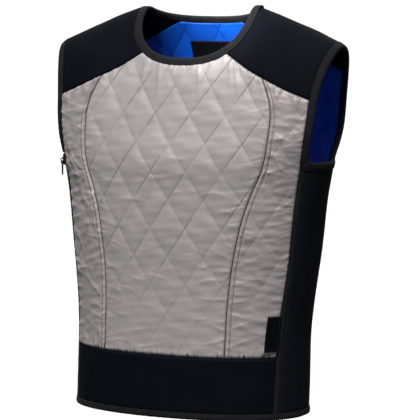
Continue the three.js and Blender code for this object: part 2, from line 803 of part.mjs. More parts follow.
function fromManifold(solid) {
  const { vertProperties, triVerts } = solid.getMesh();
  const geometry = new THREE.BufferGeometry();
  geometry.setAttribute('position', new THREE.Float32BufferAttribute(vertProperties, 3));
  geometry.setIndex(Array.from(triVerts));
  return geometry;
}

function outline(corners) {
  return new THREE.Shape(corners.map(([x, y]) => new THREE.Vector2(x, y)));
}

// A flat plate drawn beside and up, from one distance out to another.
function plateBody(shape, from, thickness) {
  const geometry = new THREE.ExtrudeGeometry(shape, { depth: thickness, bevelEnabled: false });
  return geometry.rotateX(Math.PI / 2).translate(0, from + thickness, 0);
}

// An arch drawn out and up, as wide as given.
function archBody(shape, width) {
  const geometry = new THREE.ExtrudeGeometry(shape, { depth: width, bevelEnabled: false });
  const turn = new THREE.Matrix4().makeBasis(
    new THREE.Vector3(0, 1, 0),
    new THREE.Vector3(0, 0, 1),
    new THREE.Vector3(1, 0, 0),
  );
  return geometry.applyMatrix4(turn).translate(-width / 2, 0, 0);
}

const sliderHeight = zipTop - sliderLength / 2;
const zipMiddle = (height) => flipped(bodyPoint(besideSideEdge(height, zipWidth / 2), height));
const zipMiddleAngle = besideSideEdge(sliderHeight, zipWidth / 2);
const levelStep = bodyPoint(zipMiddleAngle + 0.01, sliderHeight).sub(bodyPoint(zipMiddleAngle, sliderHeight));
const besideWay = flipped(levelStep).setZ(0).normalize();
const zipWay = zipMiddle(sliderHeight + 1).sub(zipMiddle(sliderHeight - 1)).normalize();
const outWay = zipWay.clone().cross(besideWay).normalize();
const upWay = besideWay.clone().cross(outWay).normalize();
const plumb = new THREE.Vector3(0, 0, 1);
const levelOut = plumb.clone().cross(besideWay).normalize();
// How far the teeth bulge outwards under the slider, because the side is curved.
const sliderBulge = Math.max(...[-1, -0.5, 0, 0.5, 1].map((share) => (
  zipMiddle(sliderHeight + (share * sliderLength) / 2).sub(zipMiddle(sliderHeight)).dot(outWay)
)));
const sliderLift = teethLift + sliderBulge + sliderRoom;
const sliderSeat = zipMiddle(sliderHeight).addScaledVector(outWay, sliderLift);

const bridgeTop = bridgeClearance + bridgeThickness;
const bridgeHalf = bridgeLength / 2;
const bridgeSink = 0.2;
const sliderOutline = outline([
  [-sliderNose / 2, -sliderLength / 2],
  [sliderNose / 2, -sliderLength / 2],
  [sliderWidth / 2, 0],
  [sliderWidth / 2, sliderLength / 2],
  [-sliderWidth / 2, sliderLength / 2],
  [-sliderWidth / 2, 0],
]);
const bridgeOutline = outline([
  [sliderPlate - bridgeSink, -bridgeHalf],
  [sliderPlate + bridgeClearance, -bridgeHalf],
  [sliderPlate + bridgeTop, -bridgeHalf + bridgeThickness],
  [sliderPlate + bridgeTop, bridgeHalf - bridgeThickness],
  [sliderPlate + bridgeClearance, bridgeHalf],
  [sliderPlate - bridgeSink, bridgeHalf],
  [sliderPlate - bridgeSink, bridgeHalf - bridgeThickness],
  [sliderPlate + bridgeClearance, bridgeHalf - bridgeThickness],
  [sliderPlate + bridgeClearance, -bridgeHalf + bridgeThickness],
  [sliderPlate - bridgeSink, -bridgeHalf + bridgeThickness],
]);
const sliderPlateBody = toManifold(plateBody(sliderOutline, 0, sliderPlate));
const sliderBody = sliderPlateBody.add(toManifold(archBody(bridgeOutline, bridgeWidth)));
const slider = addPiece('zip_slider', fromManifold(sliderBody), 'zip');
slider.quaternion.setFromRotationMatrix(new THREE.Matrix4().makeBasis(besideWay, outWay, upWay));
slider.position.copy(sliderSeat);

// The pull hangs plumb from the bridge: its top bar lies under the bridge, level with the hinge line.
const hingePoint = sliderSeat.clone().addScaledVector(outWay, sliderPlate + bridgeClearance / 2);
const eyeHalf = bridgeWidth / 2 + pullClearance;
const barHalf = pullThickness / 2;
const eyeLow = -bridgeHalf - pullClearance;
const pullOutline = outline([
  [-pullWidth / 2, barHalf],
  [-pullWidth / 2, eyeLow - barHalf],
  [-pullTip / 2, barHalf - pullLength],
  [pullTip / 2, barHalf - pullLength],
  [pullWidth / 2, eyeLow - barHalf],
  [pullWidth / 2, barHalf],
]);
pullOutline.holes.push(outline([
  [-eyeHalf, -barHalf],
  [-eyeHalf, eyeLow],
  [eyeHalf, eyeLow],
  [eyeHalf, -barHalf],
]));
const pull = addPiece('zip_pull', plateBody(pullOutline, -barHalf, pullThickness), 'zip');
pull.quaternion.setFromRotationMatrix(new THREE.Matrix4().makeBasis(besideWay, levelOut, plumb));
pull.position.copy(hingePoint);

// Label inside the back, hanging in front of the lining.
const labelColumns = 6;
const labelRows = 2;
const labelTop = bodyLength - backNeckDrop - labelDrop;
const labelSheet = sheetFrom(labelColumns, labelRows, (i, j) => {
  const height = labelTop - labelHeight * (1 - j / labelRows);
  const girth = labelWidth * (i / labelColumns - 0.5);
  return bodyPoint(angleAtGirth(-girth, height, true), height);
});
const labelDepth = liningInner + labelRoom;
addPiece('neck_label', clothBody(labelSheet, () => -labelDepth, labelDepth + labelThickness), 'label');

// Folded tab sewn into the side seam on the wearer's left front.
const tabColumns = 2;
const tabRows = 3;
const tabTop = hemBandHeight + tabRise;
const tabSheet = sheetFrom(tabColumns, tabRows, (i, j) => {
  const height = tabTop - tabHeight * (1 - j / tabRows);
  const girth = frontSideGirth(height) - seamGap / 2 - tabWidth * (1 - i / tabColumns);
  return bodyPoint(angleAtGirth(girth, height, false), height);
});
addPiece('side_tab', clothBody(tabSheet, () => tabRoom + tabThickness, -tabRoom), 'label');

// The origin is midway between the two places where the shoulders carry the vest.
const restHeight = ridgeHeightAt(restAcross);
vest.position.set(0, -centreAt(restHeight), stretchThickness - restHeight);

export default vest;
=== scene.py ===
import json
import math

import bpy
import numpy as np
from mathutils import Vector
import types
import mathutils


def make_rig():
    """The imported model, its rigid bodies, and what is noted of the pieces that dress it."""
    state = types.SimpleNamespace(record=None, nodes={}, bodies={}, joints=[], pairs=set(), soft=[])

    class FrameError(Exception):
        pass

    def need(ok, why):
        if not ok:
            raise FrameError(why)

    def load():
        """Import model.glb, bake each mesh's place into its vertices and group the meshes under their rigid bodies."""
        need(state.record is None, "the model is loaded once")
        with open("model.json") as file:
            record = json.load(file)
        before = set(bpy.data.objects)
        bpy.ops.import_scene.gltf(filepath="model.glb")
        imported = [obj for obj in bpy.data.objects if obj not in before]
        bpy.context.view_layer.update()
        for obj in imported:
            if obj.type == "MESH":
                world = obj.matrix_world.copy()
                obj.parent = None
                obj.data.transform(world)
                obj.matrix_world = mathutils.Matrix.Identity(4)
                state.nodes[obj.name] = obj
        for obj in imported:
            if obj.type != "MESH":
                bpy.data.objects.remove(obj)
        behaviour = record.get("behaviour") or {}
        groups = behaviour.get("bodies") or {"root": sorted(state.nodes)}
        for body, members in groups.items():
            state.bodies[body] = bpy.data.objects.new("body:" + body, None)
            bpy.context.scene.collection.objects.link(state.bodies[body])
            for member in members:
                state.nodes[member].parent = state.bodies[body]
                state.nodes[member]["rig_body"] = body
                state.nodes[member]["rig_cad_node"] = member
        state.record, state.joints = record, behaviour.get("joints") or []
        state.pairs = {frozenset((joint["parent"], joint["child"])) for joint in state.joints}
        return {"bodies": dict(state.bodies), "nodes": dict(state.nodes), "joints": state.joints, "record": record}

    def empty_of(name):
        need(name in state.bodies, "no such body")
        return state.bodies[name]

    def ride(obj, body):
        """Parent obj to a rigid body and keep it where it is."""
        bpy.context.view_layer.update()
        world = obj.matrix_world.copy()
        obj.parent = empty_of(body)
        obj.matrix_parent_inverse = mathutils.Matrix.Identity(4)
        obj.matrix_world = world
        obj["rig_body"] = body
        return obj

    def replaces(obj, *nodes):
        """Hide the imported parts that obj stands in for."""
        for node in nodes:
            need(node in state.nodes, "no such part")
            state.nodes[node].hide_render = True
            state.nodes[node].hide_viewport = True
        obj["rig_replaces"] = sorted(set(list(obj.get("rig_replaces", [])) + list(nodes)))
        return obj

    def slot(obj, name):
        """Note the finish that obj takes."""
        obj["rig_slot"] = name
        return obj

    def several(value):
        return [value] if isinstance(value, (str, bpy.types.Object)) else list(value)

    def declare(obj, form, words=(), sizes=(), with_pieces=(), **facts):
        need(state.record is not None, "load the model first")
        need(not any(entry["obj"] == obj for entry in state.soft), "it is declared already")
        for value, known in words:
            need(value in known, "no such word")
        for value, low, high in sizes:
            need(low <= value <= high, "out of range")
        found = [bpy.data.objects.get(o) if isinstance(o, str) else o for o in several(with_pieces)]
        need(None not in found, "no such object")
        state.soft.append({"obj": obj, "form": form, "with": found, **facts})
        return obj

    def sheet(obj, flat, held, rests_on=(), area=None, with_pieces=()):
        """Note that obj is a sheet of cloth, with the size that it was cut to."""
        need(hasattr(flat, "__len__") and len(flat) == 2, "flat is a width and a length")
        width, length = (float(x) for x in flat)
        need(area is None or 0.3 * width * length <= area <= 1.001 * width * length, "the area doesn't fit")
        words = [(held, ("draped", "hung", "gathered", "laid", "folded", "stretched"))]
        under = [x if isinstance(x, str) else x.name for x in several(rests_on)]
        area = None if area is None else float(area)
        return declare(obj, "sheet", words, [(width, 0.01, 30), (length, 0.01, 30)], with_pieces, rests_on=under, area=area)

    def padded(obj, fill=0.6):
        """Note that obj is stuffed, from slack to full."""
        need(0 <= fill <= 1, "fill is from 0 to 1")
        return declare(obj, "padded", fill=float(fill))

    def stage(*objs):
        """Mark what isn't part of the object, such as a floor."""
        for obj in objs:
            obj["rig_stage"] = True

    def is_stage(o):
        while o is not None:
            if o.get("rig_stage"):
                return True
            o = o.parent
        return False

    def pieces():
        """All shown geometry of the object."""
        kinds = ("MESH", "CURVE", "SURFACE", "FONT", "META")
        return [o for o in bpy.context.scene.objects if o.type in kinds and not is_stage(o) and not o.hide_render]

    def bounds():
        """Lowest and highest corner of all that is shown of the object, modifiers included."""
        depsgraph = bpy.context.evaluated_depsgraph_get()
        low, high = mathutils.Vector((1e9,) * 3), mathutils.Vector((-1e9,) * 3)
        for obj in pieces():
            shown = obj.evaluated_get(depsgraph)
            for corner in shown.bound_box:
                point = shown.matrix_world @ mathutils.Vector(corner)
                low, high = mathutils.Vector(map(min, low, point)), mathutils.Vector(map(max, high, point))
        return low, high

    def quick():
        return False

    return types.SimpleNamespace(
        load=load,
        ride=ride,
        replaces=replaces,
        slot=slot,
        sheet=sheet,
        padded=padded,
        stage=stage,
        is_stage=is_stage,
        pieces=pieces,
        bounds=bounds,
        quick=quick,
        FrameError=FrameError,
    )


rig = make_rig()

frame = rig.load()
cadBox = [list(corner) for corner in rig.bounds()]
print("frame loaded")

# The photo's view: turned a little to the wearer's left, from just above the middle
view = {
    "azimuth": 27,
    "elevation": 5.5,
    "distance": 3.8,
    "lens": 224.4,
    "lookAt": (0, 0.0029, -0.2725),
    "lookAcross": 0.0109,
    "farthest": 200,
}


def addCamera():
    turn = math.radians(view["azimuth"])
    lift = math.radians(view["elevation"])
    back = Vector((math.sin(turn) * math.cos(lift), -math.cos(turn) * math.cos(lift), math.sin(lift)))
    across = Vector((math.cos(turn), math.sin(turn), 0))
    lens = bpy.data.cameras.new("camera")
    lens.lens = view["lens"]
    lens.clip_end = view["farthest"]
    camera = bpy.data.objects.new("camera", lens)
    bpy.context.scene.collection.objects.link(camera)
    camera.location = Vector(view["lookAt"]) + across * view["lookAcross"] + back * view["distance"]
    camera.rotation_euler = (-back).to_track_quat("-Z", "Y").to_euler()
    bpy.context.scene.camera = camera


addCamera()

# Sizes of the vest in millimetres, measured up from the hem, the same as the solids have
vest = {
    "bodyLength": 580,
    "chestHalf": 210,
    "depthHalf": 105,
    "shoulderHalf": 226,
    "shoulderDrop": 55,
    "collarRise": 16,
    "neckHalf": 85,
    "frontNeckDrop": 74,
    "backNeckDrop": 17,
    "underarmHeight": 362,
    "hemBandHeight": 88,
    "bindingWidth": 10,
    "hemBindingWidth": 8.5,
    "stripWidth": 9,
    "sectionPower": 2.2,
    "neckPower": 2.4,
    "frontNeckSlope": 0.94,
    "backNeckSlope": 0.82,
    "roofStart": 0.603 * 580,
    "forward": 2.8771,
    "lowered": 555.5151,
}
armBandHeight = vest["underarmHeight"] - vest["bindingWidth"]

# Where the yokes start: degrees along the neckline, and shares of the length up the armhole
corners = {"frontNeck": 49, "backNeck": -62, "frontArm": 0.776, "backArm": 0.84}


def rowsOf(names, *rows):
    return [dict(zip(names, row)) for row in rows]


# Heights are shares of the length, the other values shares of the sizes above
sections = rowsOf(
    ("height", "chest", "shoulder", "front", "back", "centre"),
    (0.0, 0.85, 0, 1.0, 1.0, -0.324),
    (0.172, 0.848, 0, 1.01, 0.99, -0.257),
    (0.4, 0.912, 0, 0.98, 0.99, -0.181),
    (0.603, 0.997, 0, 0.89, 0.99, -0.186),
    (0.707, 0, 1.053, 0.88, 1.01, -0.124),
    (0.897, 0, 1.106, 0.9, 1.03, -0.045),
    (1.034, 0, 1.106, 0.92, 1.03, -0.01),
)
ridgeRows = rowsOf(
    ("neck", "shoulder", "rise", "drop", "round"),
    (0, 0, 1, 0, 1.5),
    (1, 0, 0, 0, 1.5),
    (0.5, 0.5, 0, 0.45, 1.85),
    (0, 1, 0, 1, 2.3),
    (0, 1.15, 0, 1.35, 2.3),
)
sideSeamRows = rowsOf(
    ("height", "reach"),
    (0, 0.88), (0.17, 0.893), (0.365, 0.903), (0.5, 0.898), (0.61, 0.893),
)
armholeRows = rowsOf(
    ("climb", "reach"),
    (0, 0), (0.243, 0.224), (0.4, 0.328), (0.554, 0.397),
    (0.695, 0.534), (0.836, 0.724), (0.95, 0.93), (1, 1),
)
frontSeamRows = rowsOf(
    ("height", "reach"),
    (0.14, 0.456), (0.25, 0.461), (0.34, 0.476), (0.417, 0.507), (0.48, 0.542),
    (0.552, 0.605), (0.6, 0.66), (0.648, 0.69), (0.725, 0.703), (0.766, 0.687),
    (0.8, 0.648), (0.84, 0.592), (0.88, 0.53),
)


def mix(low, high, share):
    return low + (high - low) * share


def smoothShare(value, low, high):
    share = np.clip((value - low) / (high - low), 0, 1)
    return share * share * (3 - 2 * share)


def unit(ways):
    return ways / np.linalg.norm(ways, axis=-1, keepdims=True)


# A smooth curve through table rows that never overshoots them
def throughRows(rows, place, value):
    at = np.array([row[place] for row in rows], float)
    to = np.array([row[value] for row in rows], float)
    steps = np.diff(to) / np.diff(at)
    before = np.concatenate([steps[:1], steps])
    after = np.concatenate([steps, steps[-1:]])
    sameWay = before * after > 0
    slopes = np.where(sameWay, 2 * before * after / np.where(sameWay, before + after, 1), 0)

    def curve(places):
        places = np.asarray(places, float)
        i = np.clip(np.searchsorted(at, places) - 1, 0, len(at) - 2)
        span = at[i + 1] - at[i]
        t = np.clip((places - at[i]) / span, 0, 1)
        low = (1 + 2 * t) * (1 - t) ** 2 * to[i] + t * (1 - t) ** 2 * span * slopes[i]
        return low + t * t * (3 - 2 * t) * to[i + 1] + t * t * (t - 1) * span * slopes[i + 1]

    return curve


bodyLength = vest["bodyLength"]
sectionSizes = [
    {
        "height": row["height"] * bodyLength,
        "halfWidth": row["chest"] * vest["chestHalf"] + row["shoulder"] * vest["shoulderHalf"],
        "front": row["front"] * vest["depthHalf"],
        "back": row["back"] * vest["depthHalf"],
        "centre": row["centre"] * vest["depthHalf"],
    }
    for row in sections
]
halfWidthAt = throughRows(sectionSizes, "height", "halfWidth")
frontDepthAt = throughRows(sectionSizes, "height", "front")
backDepthAt = throughRows(sectionSizes, "height", "back")
centreAt = throughRows(sectionSizes, "height", "centre")
ridgeSizes = [
    {
        "across": row["neck"] * vest["neckHalf"] + row["shoulder"] * vest["shoulderHalf"],
        "height": bodyLength + row["rise"] * vest["collarRise"] - row["drop"] * vest["shoulderDrop"],
        "round": row["round"],
    }
    for row in ridgeRows
]
ridgeHeightAt = throughRows(ridgeSizes, "across", "height")
ridgeRoundAt = throughRows(ridgeSizes, "across", "round")
sideReachAt = throughRows(sideSeamRows, "height", "reach")
armReachAt = throughRows(armholeRows, "climb", "reach")
frontSeamReachAt = throughRows(frontSeamRows, "height", "reach")
roofStart = vest["roofStart"]


def signedPower(value, power):
    return np.sign(value) * np.abs(value) ** power


def paired(first, second):
    return np.broadcast_arrays(np.asarray(first, float), np.asarray(second, float))


def climbAt(across, height):
    return np.clip((height - roofStart) / (ridgeHeightAt(across) - roofStart), 0, 1)


def depthFacing(facing, height):
    return np.where(facing > 0, frontDepthAt(height), backDepthAt(height))


# A point of the outer face: angle 0 is the front centre, a quarter turn the wearer's left side
def bodyPoint(angle, height):
    angle, height = paired(angle, height)
    across = halfWidthAt(height) * signedPower(np.sin(angle), 2 / vest["sectionPower"])
    facing = np.cos(angle)
    roundness = ridgeRoundAt(np.abs(across))
    roof = (1 - climbAt(np.abs(across), height) ** roundness) ** (1 / roundness)
    reach = depthFacing(facing, height) * signedPower(facing, 2 / vest["sectionPower"]) * roof
    return np.stack([across, centreAt(height) - reach, height], -1)


def angleAtAcross(across, height, behind):
    angle = np.arcsin(np.clip(across / halfWidthAt(height), 0, 1) ** (vest["sectionPower"] / 2))
    return math.pi - angle if behind else angle


# Distances in millimetres along a grid of points, and along one row of them
def lengthAlong(points, axis):
    steps = np.linalg.norm(np.diff(points, axis=axis), axis=2)
    first = np.zeros_like(np.take(steps, [0], axis=axis))
    return np.concatenate([first, np.cumsum(steps, axis=axis)], axis=axis)


def runningLength(points):
    steps = np.linalg.norm(np.diff(points, axis=0), axis=1)
    return np.concatenate([[0], np.cumsum(steps)])


# Girth is the distance along the cloth from the front or back centre line, on a level line
girthStep = 3.0
girthHeights = np.arange(0, 624, girthStep)
girthTurns = np.linspace(0, math.pi / 2, 91)


def girthTableOf(behind):
    turns = math.pi - girthTurns if behind else girthTurns
    return lengthAlong(bodyPoint(turns[None, :], girthHeights[:, None]), 1)


girthTables = {behind: girthTableOf(behind) for behind in (False, True)}


def cellOf(place, count):
    place = np.clip(place, 0, count - 1.001)
    cell = place.astype(int)
    return cell, place - cell


def girthRows(height, behind):
    i, share = cellOf(np.asarray(height, float).ravel() / girthStep, len(girthHeights))
    return mix(girthTables[behind][i], girthTables[behind][i + 1], share[:, None])


def angleAtGirth(girth, height, behind):
    girth, height = paired(girth, height)
    rows = girthRows(height, behind)
    distance = np.abs(girth.ravel())
    i = np.clip((rows < distance[:, None]).sum(axis=1), 1, len(girthTurns) - 1)
    each = np.arange(len(i))
    share = np.clip((distance - rows[each, i - 1]) / (rows[each, i] - rows[each, i - 1]), 0, 1)
    turn = mix(girthTurns[i - 1], girthTurns[i], share).reshape(girth.shape)
    angle = math.pi - turn if behind else turn
    return np.where(girth < 0, -angle, angle)


def girthAtAcross(across, height, behind):
    across, height = paired(across, height)
    turn = angleAtAcross(across, height, False).ravel()
    rows = girthRows(height, behind)
    i, share = cellOf(turn / (math.pi / 2) * (len(girthTurns) - 1), len(girthTurns))
    each = np.arange(len(i))
    return mix(rows[each, i], rows[each, i + 1], share).reshape(across.shape)


armTopAcross = vest["shoulderHalf"] - 0.9 * vest["bindingWidth"]
armTopHeight = float(ridgeHeightAt(armTopAcross))


# The edge where the silver panels stop at the side: the side seam, then the bound armhole
def sideEdge(height):
    seamHeight = np.minimum(height, armBandHeight)
    seam = sideReachAt(seamHeight / bodyLength) * halfWidthAt(seamHeight)
    climb = np.clip((np.asarray(height, float) - armBandHeight) / (armTopHeight - armBandHeight), 0, 1)
    return mix(seam, armTopAcross, armReachAt(climb))


def frontSideGirth(height):
    return girthAtAcross(sideEdge(height), height, False)


def backSideGirth(height):
    return girthAtAcross(sideEdge(height), height, True)


def frontSeam(height):
    return frontSeamReachAt(np.asarray(height, float) / bodyLength) * vest["chestHalf"]


def frontSeamGirth(height):
    return girthAtAcross(frontSeam(height), height, False)


# The neckline, moved outwards over the cloth by grow
def neckLine(behind, grow):
    slope = np.where(behind, vest["backNeckSlope"], vest["frontNeckSlope"])
    halfWidth = vest["neckHalf"] + grow
    top = float(ridgeHeightAt(halfWidth))
    low = bodyLength - np.where(behind, vest["backNeckDrop"], vest["frontNeckDrop"]) - slope * grow
    return {"halfWidth": halfWidth, "top": top, "drop": top - low}


def neckHeight(across, behind, grow):
    line = neckLine(behind, grow)
    share = np.clip(across / line["halfWidth"], 0, 1)
    power = vest["neckPower"]
    return line["top"] - line["drop"] * (1 - share ** power) ** (1 / power)


def neckPlace(turn, grow):
    behind = np.asarray(turn) < 0
    line = neckLine(behind, grow)
    across = line["halfWidth"] * np.cos(turn) ** (2 / vest["neckPower"])
    height = line["top"] - line["drop"] * np.abs(np.sin(turn)) ** (2 / vest["neckPower"])
    return {"across": across, "height": height, "behind": behind}


# Shoulders are laid out by the distance from the centre and a turn from front to back over the top
def turnAt(place):
    climb = climbAt(place["across"], place["height"])
    turn = np.arcsin(climb ** (ridgeRoundAt(place["across"]) / 2))
    return np.where(place["behind"], math.pi - turn, turn)


def shoulderHeight(across, turn):
    rise = np.sin(turn) ** (2 / ridgeRoundAt(across))
    return mix(roofStart, ridgeHeightAt(across), rise)


def shoulderPoint(across, turn):
    across, turn = paired(across, turn)
    height = shoulderHeight(across, turn)
    facing = np.cos(turn)
    power = vest["sectionPower"]
    side = (1 - (across / halfWidthAt(height)) ** power) ** (1 / power)
    reach = depthFacing(facing, height) * side * signedPower(facing, 2 / ridgeRoundAt(across))
    return np.stack([across, centreAt(height) - reach, height], -1)


def edgePlace(height, behind):
    return {"across": float(sideEdge(height)), "height": height, "behind": behind}


neckFrontCorner = neckPlace(math.radians(corners["frontNeck"]), vest["bindingWidth"])
neckBackCorner = neckPlace(math.radians(corners["backNeck"]), vest["bindingWidth"])
armFrontCorner = edgePlace(corners["frontArm"] * bodyLength, False)
armBackCorner = edgePlace(corners["backArm"] * bodyLength, True)


def yokeSeamHeight(across, behind):
    inner = neckBackCorner if behind else neckFrontCorner
    outer = armBackCorner if behind else armFrontCorner
    share = (across - inner["across"]) / (outer["across"] - inner["across"])
    return shoulderHeight(across, mix(turnAt(inner), turnAt(outer), share))


def panelTop(across, behind):
    corner = neckBackCorner if behind else neckFrontCorner
    inside = neckHeight(across, behind, vest["bindingWidth"])
    outside = yokeSeamHeight(np.maximum(across, corner["across"]), behind)
    return np.where(across < corner["across"], inside, outside)


# A sheet is a grid of points on the outer face, with the way out, the girth and the height at each
def sheetOf(points, girth, height):
    across = np.gradient(points, axis=0)
    along = np.gradient(points, axis=1)
    normals = np.cross(across, along)
    normals /= np.linalg.norm(normals, axis=2, keepdims=True) + 1e-9
    return {"points": points, "normals": normals, "girth": girth, "height": height}


flip = np.array([-1, 1, 1])


def mirrored(sheet):
    return {
        "points": sheet["points"][::-1] * flip,
        "normals": sheet["normals"][::-1] * flip,
        "girth": -sheet["girth"][::-1],
        "height": sheet["height"][::-1],
    }


def raised(sheet, lift):
    return sheet["points"] + sheet["normals"] * np.asarray(lift)[..., None]


def gridShares(columns, rows):
    side = np.linspace(0, 1, columns)[:, None] * np.ones((1, rows))
    up = np.linspace(0, 1, rows)[None, :] * np.ones((columns, 1))
    return side, up


# The top edge depends on the girth and the girth on the height, so a few rounds settle both
def panelSheet(columns, rows, behind, fromGirth, toGirth, rounds=8):
    side, up = gridShares(columns, rows)
    top = np.full(side.shape, (neckBackCorner if behind else neckFrontCorner)["height"])
    height = mix(vest["hemBandHeight"], top, up)
    for settling in range(rounds):
        girth = mix(fromGirth(height), toGirth(height), side)
        angle = angleAtGirth(-girth if behind else girth, height, behind)
        top = panelTop(np.abs(bodyPoint(angle, height)[..., 0]), behind)
        height = mix(vest["hemBandHeight"], top, up)
    return sheetOf(bodyPoint(angle, height), girth, height)


# Room is the distance in millimetres along the cloth to an edge of the sheet
def edgeRooms(points):
    across = lengthAlong(points, 0)
    along = lengthAlong(points, 1)
    return {
        "start": across,
        "end": across[-1:] - across,
        "low": along,
        "high": along[:, -1:] - along,
    }


def edgeRoom(points):
    rooms = edgeRooms(points)
    return np.minimum(np.minimum(rooms["start"], rooms["end"]), np.minimum(rooms["low"], rooms["high"]))


def within(room, reach):
    return np.clip(room / reach, 0, 1)


# A four-point rule halves the grid's steps and keeps the curve smooth
def halved(grid, axis):
    grid = np.moveaxis(grid, axis, 0)
    before = np.concatenate([2 * grid[:1] - grid[1:2], grid[:-2]])
    after = np.concatenate([grid[2:], 2 * grid[-1:] - grid[-2:-1]])
    middle = (9 * (grid[:-1] + grid[1:]) - before - after) / 16
    finer = np.empty((2 * len(grid) - 1, *grid.shape[1:]))
    finer[0::2] = grid
    finer[1::2] = middle
    return np.moveaxis(finer, 0, axis)


def finer(grid):
    return halved(halved(grid, 0), 1)


def finerSheet(sheet):
    return {name: finer(sheet[name]) for name in sheet}


# Millimetres above the hem to metres in the frame, and back
frameShift = np.array([0, vest["forward"], -vest["lowered"]])


def toFrame(points):
    return (np.asarray(points, float).reshape(-1, 3) + frameShift) / 1000


def fromFrame(points):
    return points * 1000 - frameShift


def gridFaces(columns, rows, first=0, turned=False):
    i, j = np.meshgrid(np.arange(columns - 1), np.arange(rows - 1), indexing="ij")
    corner = (i * rows + j).ravel() + first
    quads = np.stack([corner, corner + rows, corner + rows + 1, corner + 1], 1)
    return quads[:, ::-1] if turned else quads


def rimFaces(columns, rows):
    inner = columns * rows
    edge = [i * rows for i in range(columns)]
    edge += [(columns - 1) * rows + j for j in range(1, rows)]
    edge += [i * rows + rows - 1 for i in range(columns - 2, -1, -1)]
    edge += [j for j in range(rows - 2, 0, -1)]
    here = np.array(edge)
    onward = np.roll(here, -1)
    return np.stack([here, here + inner, onward + inner, onward], 1)


def makeMesh(name, points, faces, uv=None, values=None, slots=None):
    mesh = bpy.data.meshes.new(name)
    mesh.vertices.add(len(points))
    mesh.vertices.foreach_set("co", np.asarray(points, np.float32).ravel())
    mesh.loops.add(faces.size)
    mesh.loops.foreach_set("vertex_index", faces.astype(np.int32).ravel())
    mesh.polygons.add(len(faces))
    mesh.polygons.foreach_set("loop_start", np.arange(0, faces.size, faces.shape[1], dtype=np.int32))
    if slots is not None:
        mesh.polygons.foreach_set("material_index", slots.astype(np.int32))
    mesh.update(calc_edges=True)
    mesh.validate()
    if uv is not None:
        layer = mesh.uv_layers.new(name="cloth")
        layer.data.foreach_set("uv", uv[faces.ravel()].astype(np.float32).ravel())
    for key, value in (values or {}).items():
        attribute = mesh.attributes.new(key, "FLOAT", "POINT")
        attribute.data.foreach_set("value", value.astype(np.float32).ravel())
    mesh.polygons.foreach_set("use_smooth", np.ones(len(faces), bool))
    thing = bpy.data.objects.new(name, mesh)
    bpy.context.scene.collection.objects.link(thing)
    return thing


# A closed wall of cloth between an outer and an inner layer of points
def clothWall(name, sheet, outer, inner, materials, values=None):
    columns, rows = outer.shape[:2]
    count = columns * rows
    faces = np.concatenate([
        gridFaces(columns, rows),
        gridFaces(columns, rows, count, True),
        rimFaces(columns, rows),
    ])
    outside = (columns - 1) * (rows - 1)
    slots = np.zeros(len(faces), int)
    slots[outside:2 * outside] = len(materials) - 1
    uv = np.stack([sheet["girth"], sheet["height"]], -1).reshape(-1, 2) / 1000
    both = {key: np.concatenate([value.ravel()] * 2) for key, value in (values or {}).items()}
    points = np.concatenate([toFrame(outer), toFrame(inner)])
    piece = makeMesh(name, points, faces, np.concatenate([uv, uv]), both, slots)
    for material in materials:
        piece.data.materials.append(material)
    return piece


def wallBetween(name, sheet, high, low, material, values=None):
    return clothWall(name, sheet, raised(sheet, high), raised(sheet, low), [material], values)


def dress(piece, body, slot, *nodes):
    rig.ride(piece, body)
    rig.slot(piece, slot)
    if nodes:
        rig.replaces(piece, *nodes)
    return piece


# Smooth repeatable waves over the cloth, for what no hand lays quite evenly
def unevenness(girth, height, size, seed, waves=14):
    random = np.random.default_rng(seed)
    total = np.zeros(np.shape(girth))
    for wave in range(waves):
        way = random.uniform(0, 2 * math.pi)
        length = size * random.uniform(0.6, 1.7)
        phase = random.uniform(0, 2 * math.pi)
        total += np.sin((girth * math.cos(way) + height * math.sin(way)) * 2 * math.pi / length + phase)
    return total / math.sqrt(waves)


